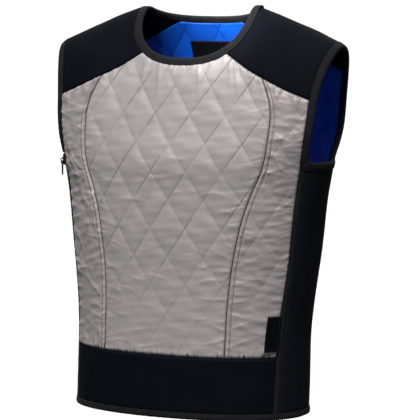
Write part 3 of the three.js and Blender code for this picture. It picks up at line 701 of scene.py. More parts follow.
# Material nodes
class Nodes:
    def __init__(self, material):
        self.tree = material.node_tree
        self.shader = self.tree.nodes["Principled BSDF"]

    def add(self, kind, **settings):
        node = self.tree.nodes.new(kind)
        for key, value in settings.items():
            setattr(node, key, value)
        return node

    def link(self, source, target):
        self.tree.links.new(source, target)

    def put(self, source, socket):
        if isinstance(source, (int, float)):
            socket.default_value = source
        else:
            self.link(source, socket)

    def fill(self, node, **sources):
        for name, source in sources.items():
            self.put(source, node.inputs[name.replace("_", " ")])
        return node

    def math(self, operation, first, second=0.0, third=0.0):
        node = self.add("ShaderNodeMath", operation=operation)
        for source, socket in zip((first, second, third), node.inputs):
            self.put(source, socket)
        return node.outputs[0]

    def cloth(self):
        uv = self.add("ShaderNodeUVMap", uv_map="cloth")
        split = self.add("ShaderNodeSeparateXYZ")
        self.link(uv.outputs[0], split.inputs[0])
        return split.outputs[0], split.outputs[1], uv.outputs[0]

    def stretched(self, vector, scale):
        mapping = self.add("ShaderNodeMapping")
        self.link(vector, mapping.inputs["Vector"])
        mapping.inputs["Scale"].default_value = scale
        return mapping.outputs[0]

    def value(self, name):
        return self.add("ShaderNodeAttribute", attribute_name=name).outputs["Fac"]

    def noise(self, vector, scale, detail, roughness=0.5):
        node = self.add("ShaderNodeTexNoise")
        self.fill(node, Vector=vector, Scale=scale, Detail=detail, Roughness=roughness)
        return node.outputs["Fac"]

    def ranged(self, source, low, high, toLow=0.0, toHigh=1.0):
        node = self.add("ShaderNodeMapRange", interpolation_type="SMOOTHSTEP")
        self.fill(node, Value=source, From_Min=low, From_Max=high, To_Min=toLow, To_Max=toHigh)
        return node.outputs["Result"]

    def colour(self, share, low, high):
        node = self.add("ShaderNodeMix", data_type="RGBA")
        self.link(share, node.inputs["Factor"])
        for shade, socket in ((low, node.inputs["A"]), (high, node.inputs["B"])):
            if isinstance(shade, tuple):
                socket.default_value = (*shade, 1)
            else:
                self.link(shade, socket)
        return node.outputs["Result"]

    def bump(self, height, distance, strength, under=None):
        node = self.add("ShaderNodeBump")
        self.fill(node, Height=height, Distance=distance, Strength=strength)
        if under:
            self.link(under, node.inputs["Normal"])
        return node.outputs["Normal"]

    def times(self, first, second):
        return self.math("MULTIPLY", first, second)

    # How far a place is from the line of stitches that runs beside the edge
    def fromStitches(self, distance):
        return self.math("ABSOLUTE", self.math("SUBTRACT", self.value("topstitch"), distance))

    def dashes(self, along, length):
        return self.math("FRACT", self.times(along, 1000 / length))

    def mottled(self, mottle, shade, share):
        return self.colour(self.ranged(mottle, 0.3, 0.7), shade, shaded(shade, share))

    def finish(self, colour, roughness, normal):
        self.fill(self.shader, Base_Color=colour, Roughness=roughness, Normal=normal)


def shaded(shade, share):
    return tuple(part * share for part in shade)


def newMaterial(name, **sockets):
    material = bpy.data.materials.new(name)
    material.use_nodes = True
    nodes = Nodes(material)
    nodes.fill(nodes.shader, **sockets)
    return material, nodes


# The diamonds of the quilting, in millimetres, and the topstitching beside the front seams
quilt = {
    "width": 55,
    "height": 79.6,
    "crossing": 147,
    "lean": -0.034,
    "straightAt": 147,
    "shift": 8,
    "stitchRise": 2.8 / 1.2155,
    "topstitch": 7,
}
quiltSpacing = 1 / math.hypot(1 / quilt["width"], 1 / quilt["height"])


def stitchDistance(girth, height):
    across = (girth - quilt["shift"] - quilt["lean"] * (height - quilt["straightAt"])) / quilt["width"]
    up = (height - quilt["crossing"]) / quilt["height"]
    falling = np.abs((across + up + 0.5) % 1 - 0.5)
    rising = np.abs((across - up + 0.5) % 1 - 0.5)
    return np.minimum(falling, rising) * quiltSpacing


# The same lines as nodes, where girth and height come in metres
def stitchNodes(nodes, girth, height):
    lean = nodes.math("MULTIPLY_ADD", height, -quilt["lean"] / quilt["width"] * 1000,
                      (quilt["lean"] * quilt["straightAt"] - quilt["shift"]) / quilt["width"])
    across = nodes.math("MULTIPLY_ADD", girth, 1000 / quilt["width"], lean)
    up = nodes.math("MULTIPLY_ADD", height, 1000 / quilt["height"], -quilt["crossing"] / quilt["height"])
    lines = []
    for operation in ("ADD", "SUBTRACT"):
        half = nodes.math("WRAP", nodes.math(operation, across, up), 0.5, -0.5)
        lines.append(nodes.times(nodes.math("ABSOLUTE", half), quiltSpacing))
    return lines


def silverMaterial(name, shade, dark, light, lineStrength):
    material, nodes = newMaterial(name, Metallic=0.15, Sheen_Weight=0.1, Sheen_Roughness=0.4)
    girth, height, place = nodes.cloth()
    # The two families of quilting lines get painted light: one family a painted shade, as if its grooves lay in
    # shadow, the other a painted highlight, as if its grooves caught the light.
    highlitStitchLines, shadedStitchLines = stitchNodes(nodes, girth, height)
    fading = nodes.ranged(nodes.noise(place, 11, 2), 0.38, 0.58, 0.25, 1.0)
    shown = nodes.times(nodes.times(fading, nodes.ranged(height, 0.1, 0.28, 0.35, 1.0)), lineStrength)
    stitchShade = nodes.times(nodes.ranged(shadedStitchLines, 0.3, 1.6, 0.85, 0.0), shown)
    stitchHighlight = nodes.times(nodes.ranged(highlitStitchLines, 0.3, 1.6, 0.75, 0.0), shown)
    dash = nodes.dashes(height, quilt["stitchRise"])
    thread = nodes.times(nodes.math("ADD", stitchShade, stitchHighlight), nodes.ranged(dash, 0.1, 0.35))
    mottle = nodes.noise(place, 14, 4)
    cloth = nodes.mottled(mottle, shade, 0.92)
    # stitched is the cloth with the painted shade and painted highlight of the quilting lines
    stitched = nodes.colour(stitchHighlight, nodes.colour(stitchShade, cloth, dark), light)
    topLine = nodes.ranged(nodes.fromStitches(quilt["topstitch"]), 0.3, 1.0, 0.75, 0.0)
    topLine = nodes.times(topLine, nodes.ranged(dash, 0.1, 0.3))
    # Painted shade: short dark streaks up from the low and high seams, as shadow in the valleys of small pleats, and
    # dark notches along the seam line, on top of the dark seam itself
    pleatShadeReach = nodes.ranged(nodes.noise(nodes.stretched(place, (330, 26, 1)), 1.0, 2), 0.51, 0.72, 0.0, 8.0)
    pleatShade = nodes.ranged(nodes.math("SUBTRACT", nodes.value("pleatShadeRoom"), pleatShadeReach), -0.6, 0.9, 0.8, 0.0)
    seamAndCreaseShade = nodes.math("MAXIMUM", nodes.ranged(nodes.value("seam"), 0.2, 1.3, 0.92, 0.0), pleatShade)
    sewn = nodes.colour(seamAndCreaseShade, nodes.colour(topLine, stitched, dark), shaded(dark, 0.25))
    crumple = nodes.noise(nodes.stretched(place, (60, 130, 1)), 1.0, 5, 0.55)
    weave = nodes.noise(nodes.stretched(place, (1500, 2600, 1)), 1.0, 1)
    woven = nodes.bump(weave, 0.0001, 0.35, nodes.bump(crumple, 0.0008, 0.4))
    nodes.finish(sewn, nodes.ranged(mottle, 0.2, 0.8, 0.46, 0.58), nodes.bump(thread, 0.0004, 0.6, woven))
    return material


def liningMaterial(name, shade, dark):
    material, nodes = newMaterial(name, Sheen_Weight=0.03, Sheen_Roughness=0.5, Specular_IOR_Level=0.35)
    girth, height, place = nodes.cloth()
    near = nodes.math("MINIMUM", *stitchNodes(nodes, girth, height))
    mottle = nodes.noise(place, 18, 4)
    sewn = nodes.colour(nodes.ranged(near, 0.3, 1.3, 0.8, 0.0), nodes.mottled(mottle, shade, 0.8), dark)
    crumple = nodes.noise(nodes.stretched(place, (70, 120, 1)), 1.0, 5, 0.55)
    nodes.finish(sewn, nodes.ranged(mottle, 0.2, 0.8, 0.34, 0.48), nodes.bump(crumple, 0.0014, 0.5))
    return material


# Sizes of the stretch cloth and of its stitching in millimetres
stretchCloth = {
    "thickness": 2.2,
    "roll": 4,
    "sink": 1.1,
    "wave": 0.45,
    "waveSize": 75,
    "topstitch": 2.2,
    "stitch": 3.0,
}


def stretchMaterial(name, shade, edge):
    material, nodes = newMaterial(name, Sheen_Weight=0.007, Sheen_Roughness=0.35, Specular_IOR_Level=0.045)
    girth, height, place = nodes.cloth()
    dash = nodes.dashes(nodes.math("ADD", girth, height), stretchCloth["stitch"])
    line = nodes.ranged(nodes.fromStitches(stretchCloth["topstitch"]), 0.2, 0.6, 1.0, 0.0)
    line = nodes.times(line, nodes.ranged(dash, 0.15, 0.3))
    mottle = nodes.noise(place, 30, 5)
    sewn = nodes.colour(nodes.times(line, 0.5), nodes.mottled(mottle, shade, 1.25), edge)
    nap = nodes.noise(nodes.stretched(place, (1600, 2200, 1)), 1.0, 2)
    woven = nodes.bump(nap, 0.00012, 0.5, nodes.bump(nodes.noise(place, 24, 3), 0.0015, 0.35))
    nodes.finish(sewn, nodes.ranged(mottle, 0.2, 0.8, 0.62, 0.74), nodes.bump(line, 0.0003, 0.4, woven))
    return material


def bindingMaterial(name, shade, light):
    material, nodes = newMaterial(name, Sheen_Weight=0.02, Sheen_Roughness=0.4, Specular_IOR_Level=0.12)
    along, across, place = nodes.cloth()
    rib = nodes.math("SINE", nodes.times(along, 2 * math.pi / 0.0014))
    cord = nodes.math("SINE", nodes.times(across, 2 * math.pi / 0.0022))
    ribbed = nodes.math("ADD", rib, nodes.times(cord, 0.8))
    patch = nodes.noise(place, 60, 3)
    worn = nodes.colour(nodes.ranged(patch, 0.25, 0.75), shade, light)
    nodes.finish(worn, nodes.ranged(patch, 0.2, 0.8, 0.7, 0.85), nodes.bump(ribbed, 0.00016, 0.6))
    return material


def plasticMaterial(name, shade):
    material, nodes = newMaterial(name, Specular_IOR_Level=0.45)
    grain = nodes.noise(nodes.add("ShaderNodeTexCoord").outputs["Object"], 900, 3)
    grained = nodes.colour(grain, shade, shaded(shade, 1.5))
    nodes.finish(grained, nodes.ranged(grain, 0.2, 0.8, 0.32, 0.5), nodes.bump(grain, 0.00005, 0.4))
    return material


def labelMaterial(name, shade, light):
    material, nodes = newMaterial(name, Sheen_Weight=0.01, Sheen_Roughness=0.4, Specular_IOR_Level=0.1)
    along, up, place = nodes.cloth()
    slant = nodes.math("ADD", along, up)
    twill = nodes.math("SINE", nodes.times(slant, 2 * math.pi / 0.0009))
    dash = nodes.ranged(nodes.dashes(slant, 2.4), 0.2, 0.35)
    stitch = nodes.times(nodes.ranged(nodes.fromStitches(1.6), 0.15, 0.5, 1.0, 0.0), dash)
    woven = nodes.bump(twill, 0.00008, 0.4)
    nodes.finish(nodes.colour(stitch, shade, light), 0.5, nodes.bump(stitch, 0.0003, 0.5, woven))
    return material


# The seams' dark, also the painted shade in the grooves of the quilting lines; the third colour of each silver is the
# painted highlight on the other quilting lines
seamDarkAndStitchShade = (0.085, 0.08, 0.082)
silver = silverMaterial("silver quilted nylon", (0.45, 0.42, 0.415), seamDarkAndStitchShade, (0.64, 0.62, 0.62), 0.62)
# The side fronts take a darker copy of the silver: painted shade
shadedSideSilver = silverMaterial("silver nylon, darker copy for painted side shade", (0.43, 0.39, 0.385), seamDarkAndStitchShade, (0.6, 0.57, 0.57), 0.3)
blueLining = liningMaterial("blue quilted lining", (0.002, 0.1, 0.62), (0.001, 0.025, 0.2))
stretch = stretchMaterial("black stretch cloth", (0.0030, 0.0041, 0.0074), (0.012, 0.013, 0.017))
# The side panels take a lighter copy of the black stretch cloth: painted light
litSideStretch = stretchMaterial("black stretch cloth, lighter copy for painted side light", (0.0058, 0.0082, 0.0122), (0.016, 0.018, 0.023))
zipCloth = stretchMaterial("black zip tape", (0.010, 0.010, 0.012), (0.03, 0.03, 0.032))
binding = bindingMaterial("ribbed charcoal binding", (0.0092, 0.0096, 0.0113), (0.0155, 0.0162, 0.0184))
blackPlastic = plasticMaterial("black zip plastic", (0.012, 0.012, 0.013))
blackLabel = labelMaterial("black woven label", (0.0027, 0.003, 0.0042), (0.018, 0.018, 0.021))
print("materials made")

# Quilted panels: padded cloth, sewn down along the diamonds and gathered a little into every seam
padding = {
    "puff": 1.3,
    "seamSink": 1.6,
    "seamRoll": 4,
    "welt": 0.5,
    "stitchHold": 1.5,
    "frames": 18,
    "most": 4.0,
}
folds = {
    "sides": {"spacing": 8, "reach": 17, "depth": 1.25},
    "top": {"spacing": 11, "reach": 24, "depth": 2.3, "steep": 2.2, "soft": 5},
    "bottom": {"spacing": 6.5, "reach": 9, "depth": 1.6},
    # The notches set no shape: they say where painted shade darkens small notches along the seams
    "notchShade": {"spacing": 7, "reach": 5, "depth": 3, "steep": 0.9, "soft": 1.4},
}
clothSettings = {
    "quality": 5,
    "mass": 0.1,
    "tension_stiffness": 25,
    "compression_stiffness": 25,
    "shear_stiffness": 8,
    "bending_stiffness": 0.02,
    "air_damping": 3,
    "vertex_group_mass": "hold",
    "pin_stiffness": 8,
    "vertex_group_shrink": "spare",
    "shrink_min": 0,
    "shrink_max": -0.09,
    "use_pressure": True,
    "uniform_pressure_force": 0.8,
}


def puffOf(girth, height, room):
    distance = stitchDistance(girth, height)
    pillow = 1 - 0.5 * (1 - within(distance, quiltSpacing / 2)) ** 2 - 0.5 * np.exp(-distance / 4.5)
    return pillow * np.clip(room / 25, 0.15, 1) * within(room, 5) * smoothShare(height, 90, 270)


# A fold rises steeply on its upper or left side and runs out softly on the other
def foldProfile(across, steep, soft):
    return np.exp(-np.abs(across) / np.where(across > 0, steep, soft))


def gathered(along, room, seed, spacing, reach, depth, steep=1.5, soft=3.5):
    random = np.random.default_rng(seed)
    total = np.zeros(along.shape)
    place = along.min()
    while place < along.max():
        place += spacing * random.uniform(0.5, 1.6)
        length = reach * random.uniform(0.4, 1.9)
        lean = random.uniform(-0.4, 0.4)
        rise = depth * random.uniform(0.35, 1)
        across = (along - place - lean * room) / (1 + 0.5 * room / length)
        total += rise * foldProfile(across, steep, soft) * np.exp(-(room / length) ** 2)
    return total * (1 - np.exp(-room / 1.5))


def creased(girth, height, seed, count, length, turns, depth):
    random = np.random.default_rng(seed)
    total = np.zeros(girth.shape)
    for crease in range(count):
        fromGirth = girth - random.uniform(girth.min(), girth.max())
        fromHeight = height - random.uniform(height.min(), height.max())
        turn = math.radians(random.uniform(*turns))
        reach = length * random.uniform(0.45, 1.5)
        along = fromGirth * math.cos(turn) + fromHeight * math.sin(turn)
        across = fromHeight * math.cos(turn) - fromGirth * math.sin(turn)
        across += random.uniform(-0.25, 0.25) * along ** 2 / reach
        rise = depth * random.uniform(0.3, 1)
        total += rise * foldProfile(across, 1.6, random.uniform(3, 8)) * np.exp(-(along / reach) ** 2)
    return total


# The cloth simulation lets the spare cloth between the stitch lines find its own puckers
def settled(name, start, hold, spare):
    columns, rows = start.shape[:2]
    piece = makeMesh(name, toFrame(start), gridFaces(columns, rows))
    for group, shares in (("hold", hold), ("spare", spare)):
        members = piece.vertex_groups.new(name=group)
        for index, share in enumerate(shares.ravel()):
            members.add([index], float(share), "REPLACE")
    cloth = piece.modifiers.new("cloth", "CLOTH")
    for key, value in clothSettings.items():
        setattr(cloth.settings, key, value)
    cloth.settings.effector_weights.gravity = 0
    cloth.collision_settings.use_collision = False
    cloth.collision_settings.use_self_collision = False
    cloth.point_cache.frame_start = 1
    cloth.point_cache.frame_end = padding["frames"]
    scene = bpy.context.scene
    for step in range(1, padding["frames"] + 1):
        scene.frame_set(step)
    shown = piece.evaluated_get(bpy.context.evaluated_depsgraph_get())
    places = np.zeros(len(shown.data.vertices) * 3, np.float32)
    shown.data.vertices.foreach_get("co", places)
    scene.frame_set(1)
    mesh = piece.data
    bpy.data.objects.remove(piece)
    bpy.data.meshes.remove(mesh)
    return fromFrame(places.reshape(columns, rows, 3).astype(float))


def sewnPanel(name, sheet, seed, seamSide=None):
    rooms = edgeRooms(sheet["points"])
    room = edgeRoom(sheet["points"])
    girth, height = sheet["girth"], sheet["height"]
    roll = padding["seamSink"] * (1 - within(room, padding["seamRoll"])) ** 2
    lift = padding["puff"] * puffOf(girth, height, room) - roll
    lift += 0.3 * unevenness(girth, height * 2.4, 34, seed + 1) * within(room, 6)
    start = raised(sheet, lift)
    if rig.quick():
        moved = start
    else:
        hold = 0.55 * np.exp(-(stitchDistance(girth, height) / padding["stitchHold"]) ** 2)
        if seamSide:
            fromTopstitch = (rooms[seamSide] - quilt["topstitch"]) / padding["stitchHold"]
            hold = np.maximum(hold, 0.6 * np.exp(-fromTopstitch ** 2))
        hold[[0, -1], :] = 1
        hold[:, [0, -1]] = 1
        moved = settled(name + "Cloth", start, hold, 0.35 + 0.65 * np.exp(-(room / 26) ** 2))
    offset = moved - sheet["points"]
    size = np.linalg.norm(offset, axis=2, keepdims=True)
    offset *= np.minimum(1, padding["most"] / np.maximum(size, 1e-6))
    return offset


def quiltedPiece(name, sheet, offset, look):
    fine = finerSheet(sheet)
    rooms = edgeRooms(fine["points"])
    room = edgeRoom(fine["points"])
    girth, height = fine["girth"], fine["height"]
    seed = look["seed"]
    lift = np.zeros(room.shape)
    across = [("start", height, "sides"), ("end", height, "sides")]
    level = [("high", girth, "top"), ("low", girth, "bottom")]
    for turn, (edge, along, kind) in enumerate(across + level):
        lift += gathered(along, rooms[edge], seed + turn, **folds[kind])
    lift *= look["foldShare"]
    calm = smoothShare(height, look["calmAbove"] - 40, look["calmAbove"] + 20)
    lift += creased(girth, height, seed + 4, **look["creases"]) * (1 - 0.65 * calm)
    lift *= within(room, 2)
    topstitch = np.full(room.shape, 99.0)
    if "seam" in look:
        topstitch = rooms[look["seam"]]
        lift *= np.clip(np.abs(topstitch - quilt["topstitch"]) / 2, 0.3, 1)
        welt = padding["welt"] * (1 + 0.6 * unevenness(girth * 0, height, 40, seed + 5))
        lift += welt * np.exp(-((topstitch - quilt["topstitch"] / 2) / 1.7) ** 2)
    outer = fine["points"] + finer(offset) + fine["normals"] * lift[..., None]
    inside = raised(fine, -look["thickness"] - look["liningPuff"] * puffOf(girth, height, room))
    # Painted shade: the notches darken the cloth along the low and high seams like shadow in small gaps, and the pleat
    # room says how far the painted shade of small pleats reaches from those seams
    notchShade = gathered(girth, rooms["low"], seed + 6, **folds["notchShade"])
    notchShade += 0.5 * gathered(girth, rooms["high"], seed + 7, **folds["notchShade"])
    pleatShadeRoom = np.minimum(rooms["low"], rooms["high"] * 1.8)
    values = {"topstitch": topstitch, "seam": room - notchShade, "pleatShadeRoom": pleatShadeRoom}
    return clothWall(name, fine, outer, inside, [look["material"], blueLining], values)


def addPanel(name, node, sheet, look):
    offset = sewnPanel(name, sheet, look["sewnSeed"], look.get("seam"))
    piece = quiltedPiece(name, sheet, offset, look)
    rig.padded(dress(piece, "vest", "silver_quilt", node), fill=0.25)


frontLook = {
    "sewnSeed": 3,
    "seed": 101,
    "calmAbove": 360,
    "foldShare": 1,
    "thickness": 3,
    "liningPuff": 2.2,
    "material": silver,
    "creases": {"count": 85, "length": 16, "turns": (-16, 16), "depth": 1.15},
}
frontSheet = panelSheet(93, 133, False, lambda height: -frontSeamGirth(height), frontSeamGirth)
addPanel("frontPanel", "front_panel", frontSheet, frontLook)
print("front panel sewn")

sideLook = {
    "calmAbove": 600,
    "thickness": 3,
    "liningPuff": 2.2,
    "material": shadedSideSilver,
    "creases": {"count": 75, "length": 22, "turns": (-75, 40), "depth": 1.05},
}
leftLook = {**sideLook, "sewnSeed": 11, "seed": 211, "seam": "start", "foldShare": 1.2}
rightLook = {**sideLook, "sewnSeed": 23, "seed": 307, "seam": "end", "foldShare": 1.8}
rightLook["creases"] = {**sideLook["creases"], "depth": 1.5}
sideSheet = panelSheet(37, 121, False, frontSeamGirth, frontSideGirth)
addPanel("sideFrontLeft", "side_front_left", sideSheet, leftLook)
addPanel("sideFrontRight", "side_front_right", mirrored(sideSheet), rightLook)
print("side fronts sewn")

backLook = {
    "sewnSeed": 31,
    "seed": 401,
    "calmAbove": 400,
    "foldShare": 1,
    "thickness": 2.4,
    "liningPuff": 1.2,
    "material": silver,
    "creases": {"count": 80, "length": 20, "turns": (-25, 25), "depth": 0.5},
}
backSheet = panelSheet(99, 117, True, lambda height: -backSideGirth(height), backSideGirth)
addPanel("backPanel", "back_panel", backSheet, backLook)
print("back panel sewn")

# Blue lining of the back, quilted towards the wearer, and flatter under the label
backLining = {"columns": 140, "rows": 170, "inset": 2, "outer": 3.95, "least": 4.5, "puff": 1.5}


def addBackLining():
    inset = backLining["inset"]
    sheet = panelSheet(backLining["columns"], backLining["rows"], True,
                       lambda height: inset - backSideGirth(height),
                       lambda height: backSideGirth(height) - inset)
    room = edgeRoom(sheet["points"])
    girth, height = sheet["girth"], sheet["height"]
    puff = backLining["puff"] * puffOf(girth, height, room)
    puff += 0.35 * unevenness(girth, height, 18, 71) * within(room, 8)
    underLabel = smoothShare(np.abs(girth), 55, 43) * smoothShare(np.abs(height - 510), 25, 15)
    depth = backLining["least"] + puff * (1 - 0.8 * underLabel)
    piece = wallBetween("backLining", sheet, -backLining["outer"], -depth, blueLining)
    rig.padded(dress(piece, "vest", "blue_lining", "back_lining"), fill=0.2)


addBackLining()
print("back lining made")


# Stretch cloth: plain pieces whose edges roll into the seams
def areaOf(points):
    first = points[1:, :-1] - points[:-1, :-1]
    second = points[:-1, 1:] - points[:-1, :-1]
    return float(np.linalg.norm(np.cross(first, second), axis=2).sum()) / 1e6


def declareSheet(piece, points, held, restsOn=(), trims=()):
    width = float(lengthAlong(points, 0)[-1].max()) / 1000
    length = float(lengthAlong(points, 1)[:, -1].max()) / 1000
    area = areaOf(points)
    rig.sheet(piece, flat=(width, length), held=held, rests_on=restsOn, area=area, with_pieces=trims)


def stretchPiece(name, sheet, node, seed, cloth=stretch):
    room = edgeRoom(sheet["points"])
    roll = stretchCloth["sink"] * (1 - within(room, stretchCloth["roll"])) ** 2
    wave = unevenness(sheet["girth"], sheet["height"], stretchCloth["waveSize"], seed)
    lift = stretchCloth["wave"] * wave * within(room, 20) - roll
    piece = wallBetween(name, sheet, lift, -stretchCloth["thickness"], cloth, {"topstitch": room})
    return dress(piece, "vest", "stretch_cloth", node)


# The edges of a yoke have no plain formula across a turn, so both are closed in on step by step
def neckAcrossAtTurn(turns, rounds=30):
    front = np.full(turns.shape, math.radians(corners["frontNeck"]))
    back = np.full(turns.shape, math.radians(corners["backNeck"]))
    for halving in range(rounds):
        middle = (front + back) / 2
        before = turnAt(neckPlace(middle, vest["bindingWidth"])) < turns
        front = np.where(before, middle, front)
        back = np.where(before, back, middle)
    return neckPlace((front + back) / 2, vest["bindingWidth"])["across"]


def armAcrossAtTurn(turns, rounds=24):
    across = np.full(turns.shape, armTopAcross)
    for nearing in range(rounds):
        across = sideEdge(shoulderHeight(across, turns))
    return across


def yokeSheet(columns, rows):
    side, over = gridShares(columns, rows)
    neckTurn = mix(turnAt(neckFrontCorner), turnAt(neckBackCorner), over[:1])
    armTurn = mix(turnAt(armFrontCorner), turnAt(armBackCorner), over[:1])
    across = mix(neckAcrossAtTurn(neckTurn), armAcrossAtTurn(armTurn), side)
    points = shoulderPoint(across, mix(neckTurn, armTurn, side))
    return sheetOf(points, lengthAlong(points, 0), lengthAlong(points, 1))


def besideSideEdge(height, distance):
    return angleAtGirth(frontSideGirth(height) + distance, height, False)


# A sheet from the hem's binding up, where two functions say the angle of both sides at a height
def lowSheet(columns, rows, top, startAt, endAt):
    side, up = gridShares(columns, rows)
    height = mix(vest["hemBindingWidth"], top, up)
    points = bodyPoint(mix(startAt(height), endAt(height), side), height)
    return sheetOf(points, lengthAlong(points, 0), height)


def frontEdge(height):
    return angleAtAcross(sideEdge(height), height, False)


def backEdge(height):
    return angleAtAcross(sideEdge(height), height, True)


def sidePanelSheet(columns, rows, margin):
    return lowSheet(columns, rows, armBandHeight, lambda height: besideSideEdge(height, margin), backEdge)


def stripSheet(columns, rows, distance, width, top):
    side, up = gridShares(columns, rows)
    height = mix(vest["hemBindingWidth"], top, up)
    points = bodyPoint(besideSideEdge(height, distance + width * side), height)
    return sheetOf(points, lengthAlong(points, 0), height)


def addStretchPieces():
    yoke = yokeSheet(60, 84)
    bandTop = vest["hemBandHeight"]
    frontBand = lowSheet(150, 30, bandTop, lambda height: -frontEdge(height), frontEdge)
    backBand = lowSheet(150, 30, bandTop, backEdge, lambda height: 2 * math.pi - backEdge(height))
    pieces = [
        (stretchPiece("yokeLeft", yoke, "shoulder_yoke_left", 41), yoke),
        (stretchPiece("yokeRight", mirrored(yoke), "shoulder_yoke_right", 43), yoke),
        (stretchPiece("frontBand", frontBand, "front_hem_band", 59), frontBand),
        (stretchPiece("backBand", backBand, "back_hem_band", 61), backBand),
    ]
    for piece, sheet in pieces:
        declareSheet(piece, sheet["points"], "stretched")


addStretchPieces()
leftSide = sidePanelSheet(40, 100, vest["stripWidth"])
rightSide = mirrored(sidePanelSheet(40, 100, 14))
sidePanelLeft = stretchPiece("sidePanelLeft", leftSide, "side_panel_left", 47, litSideStretch)
sidePanelRight = stretchPiece("sidePanelRight", rightSide, "side_panel_right", 53, litSideStretch)
print("stretch pieces made")


def addStrip():
    sheet = stripSheet(10, 160, 0, vest["stripWidth"], armBandHeight + 6)
    room = edgeRooms(sheet["points"])
    crown = np.minimum(room["start"], room["end"]) / (vest["stripWidth"] / 2)
    lift = 0.9 * np.clip(crown, 0, 1) ** 0.5 - 0.2
    turned = {**sheet, "girth": sheet["height"], "height": sheet["girth"]}
    piece = wallBetween("stripLeft", turned, lift, -stretchCloth["thickness"], binding)
    return dress(piece, "vest", "edge_binding", "side_strip_left")


declareSheet(sidePanelLeft, leftSide["points"], "stretched", trims=[addStrip()])

# Bindings: a ribbed tape folded over the cloth's edge. Its profile goes across from the seam to the
# opening, and out from the cloth.
bindingShape = {
    "profile": np.array([
        (-1.3, 0.2), (-0.9, 0.85), (0.6, 1.2), (1.5, 0.85), (2.4, 1.25), (4.5, 1.4),
        (7.0, 1.35), (8.8, 0.95), (9.8, -0.1), (10.1, -1.5), (9.8, -2.8), (8.6, -3.8),
        (6.5, -4.2), (2.5, -4.2), (-0.6, -4.0), (-1.3, -3.4),
    ]),
    "step": 2.5,
    "cornerRound": 22,
    "smoothing": 4,
    "neckSmoothing": 2,
    "peakLift": 3.2,
    "peakReach": 14,
    "flatWidth": 0.0165,
    "hemFlatWidth": 0.0155,
}


# Even steps along the first of some lines, and where the others are at the same steps
def spacedAlong(lines, closed, step):
    if closed:
        lines = [np.concatenate([line, line[:1]]) for line in lines]
    lengths = runningLength(lines[0])
    at = np.linspace(0, lengths[-1], int(round(lengths[-1] / step)) + 1)
    if closed:
        at = at[:-1]
    placed = [np.stack([np.interp(at, lengths, line[:, axis]) for axis in range(3)], 1) for line in lines]
    return at, *placed


def averaged(points, reach, closed):
    total = np.zeros_like(points)
    weight = 0
    for shift in range(-reach, reach + 1):
        share = reach + 1 - abs(shift)
        if closed:
            moved = np.roll(points, shift, axis=0)
        else:
            moved = points[np.clip(np.arange(len(points)) - shift, 0, len(points) - 1)]
        total += share * moved
        weight += share
    return total / weight


def outwards(piece):
    bpy.ops.object.select_all(action="DESELECT")
    piece.select_set(True)
    bpy.context.view_layer.objects.active = piece
    bpy.ops.object.mode_set(mode="EDIT")
    bpy.ops.mesh.select_all(action="SELECT")
    bpy.ops.mesh.normals_make_consistent(inside=False)
    bpy.ops.object.mode_set(mode="OBJECT")
    piece.select_set(False)


# The tape is a row of rings, each with the profile's points, and capped where it doesn't close
def bindingTape(name, rings, along, closed, node, flatWidth):
    count, size = rings.shape[:2]
    around = runningLength(bindingShape["profile"])
    uv = np.stack([np.repeat(along[:, None], size, 1), np.repeat(around[None, :], count, 0)], -1)
    k, p = np.meshgrid(np.arange(count if closed else count - 1), np.arange(size), indexing="ij")
    here, onward = k * size, (k + 1) % count * size
    q = (p + 1) % size
    faces = np.stack([here + p, here + q, onward + q, onward + p], -1).reshape(-1, 4)
    if not closed:
        low = np.arange(size // 2 - 1)
        high = size - 1 - low
        for end in (0, (count - 1) * size):
            faces = np.concatenate([faces, end + np.stack([low, low + 1, high - 1, high], 1)])
    piece = makeMesh(name, toFrame(rings), faces, uv.reshape(-1, 2) / 1000)
    outwards(piece)
    piece.data.materials.append(binding)
    dress(piece, "vest", "edge_binding", node)
    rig.sheet(piece, flat=(float(along[-1]) / 1000, flatWidth), held="folded")


def boundEdge(name, points, ways, closed, node, smoothing=bindingShape["smoothing"]):
    at, points, ways = spacedAlong([points, ways], closed, bindingShape["step"])
    points = averaged(points, smoothing, closed)
    ways = averaged(unit(ways), bindingShape["smoothing"], closed)
    if closed:
        along = np.roll(points, -1, axis=0) - np.roll(points, 1, axis=0)
    else:
        along = np.gradient(points, axis=0)
    sideways = unit(np.cross(ways, along))
    if ((points.mean(axis=0) - points) * sideways).sum() < 0:
        sideways = -sideways
    width = vest["bindingWidth"]
    reached = points + sideways * width
    apart = np.linalg.norm(reached[:, None] - points[None, :], axis=2).min(axis=1)
    inner = spacedAlong([reached[apart > 0.97 * width]], closed, 1.0)[1]
    inner = averaged(inner, bindingShape["cornerRound"], closed)
    nearest = np.linalg.norm(reached[:, None] - inner[None, :], axis=2).argmin(axis=1)
    span = averaged(inner[nearest] - points, 1, closed) / width
    rings = [points + span * across + ways * out for across, out in bindingShape["profile"]]
    bindingTape(name, np.stack(rings, 1), at, closed, node, bindingShape["flatWidth"])


def normalOf(pointOf, first, second, firstStep, secondStep):
    along = pointOf(first + firstStep, second) - pointOf(first - firstStep, second)
    over = pointOf(first, second + secondStep) - pointOf(first, second - secondStep)
    return unit(np.cross(along, over))


def shoulderNormal(across, turn):
    return normalOf(shoulderPoint, across, turn, 0.5, 0.004)


def bodyNormal(angle, height):
    return normalOf(bodyPoint, angle, height, 0.004, 0.5)


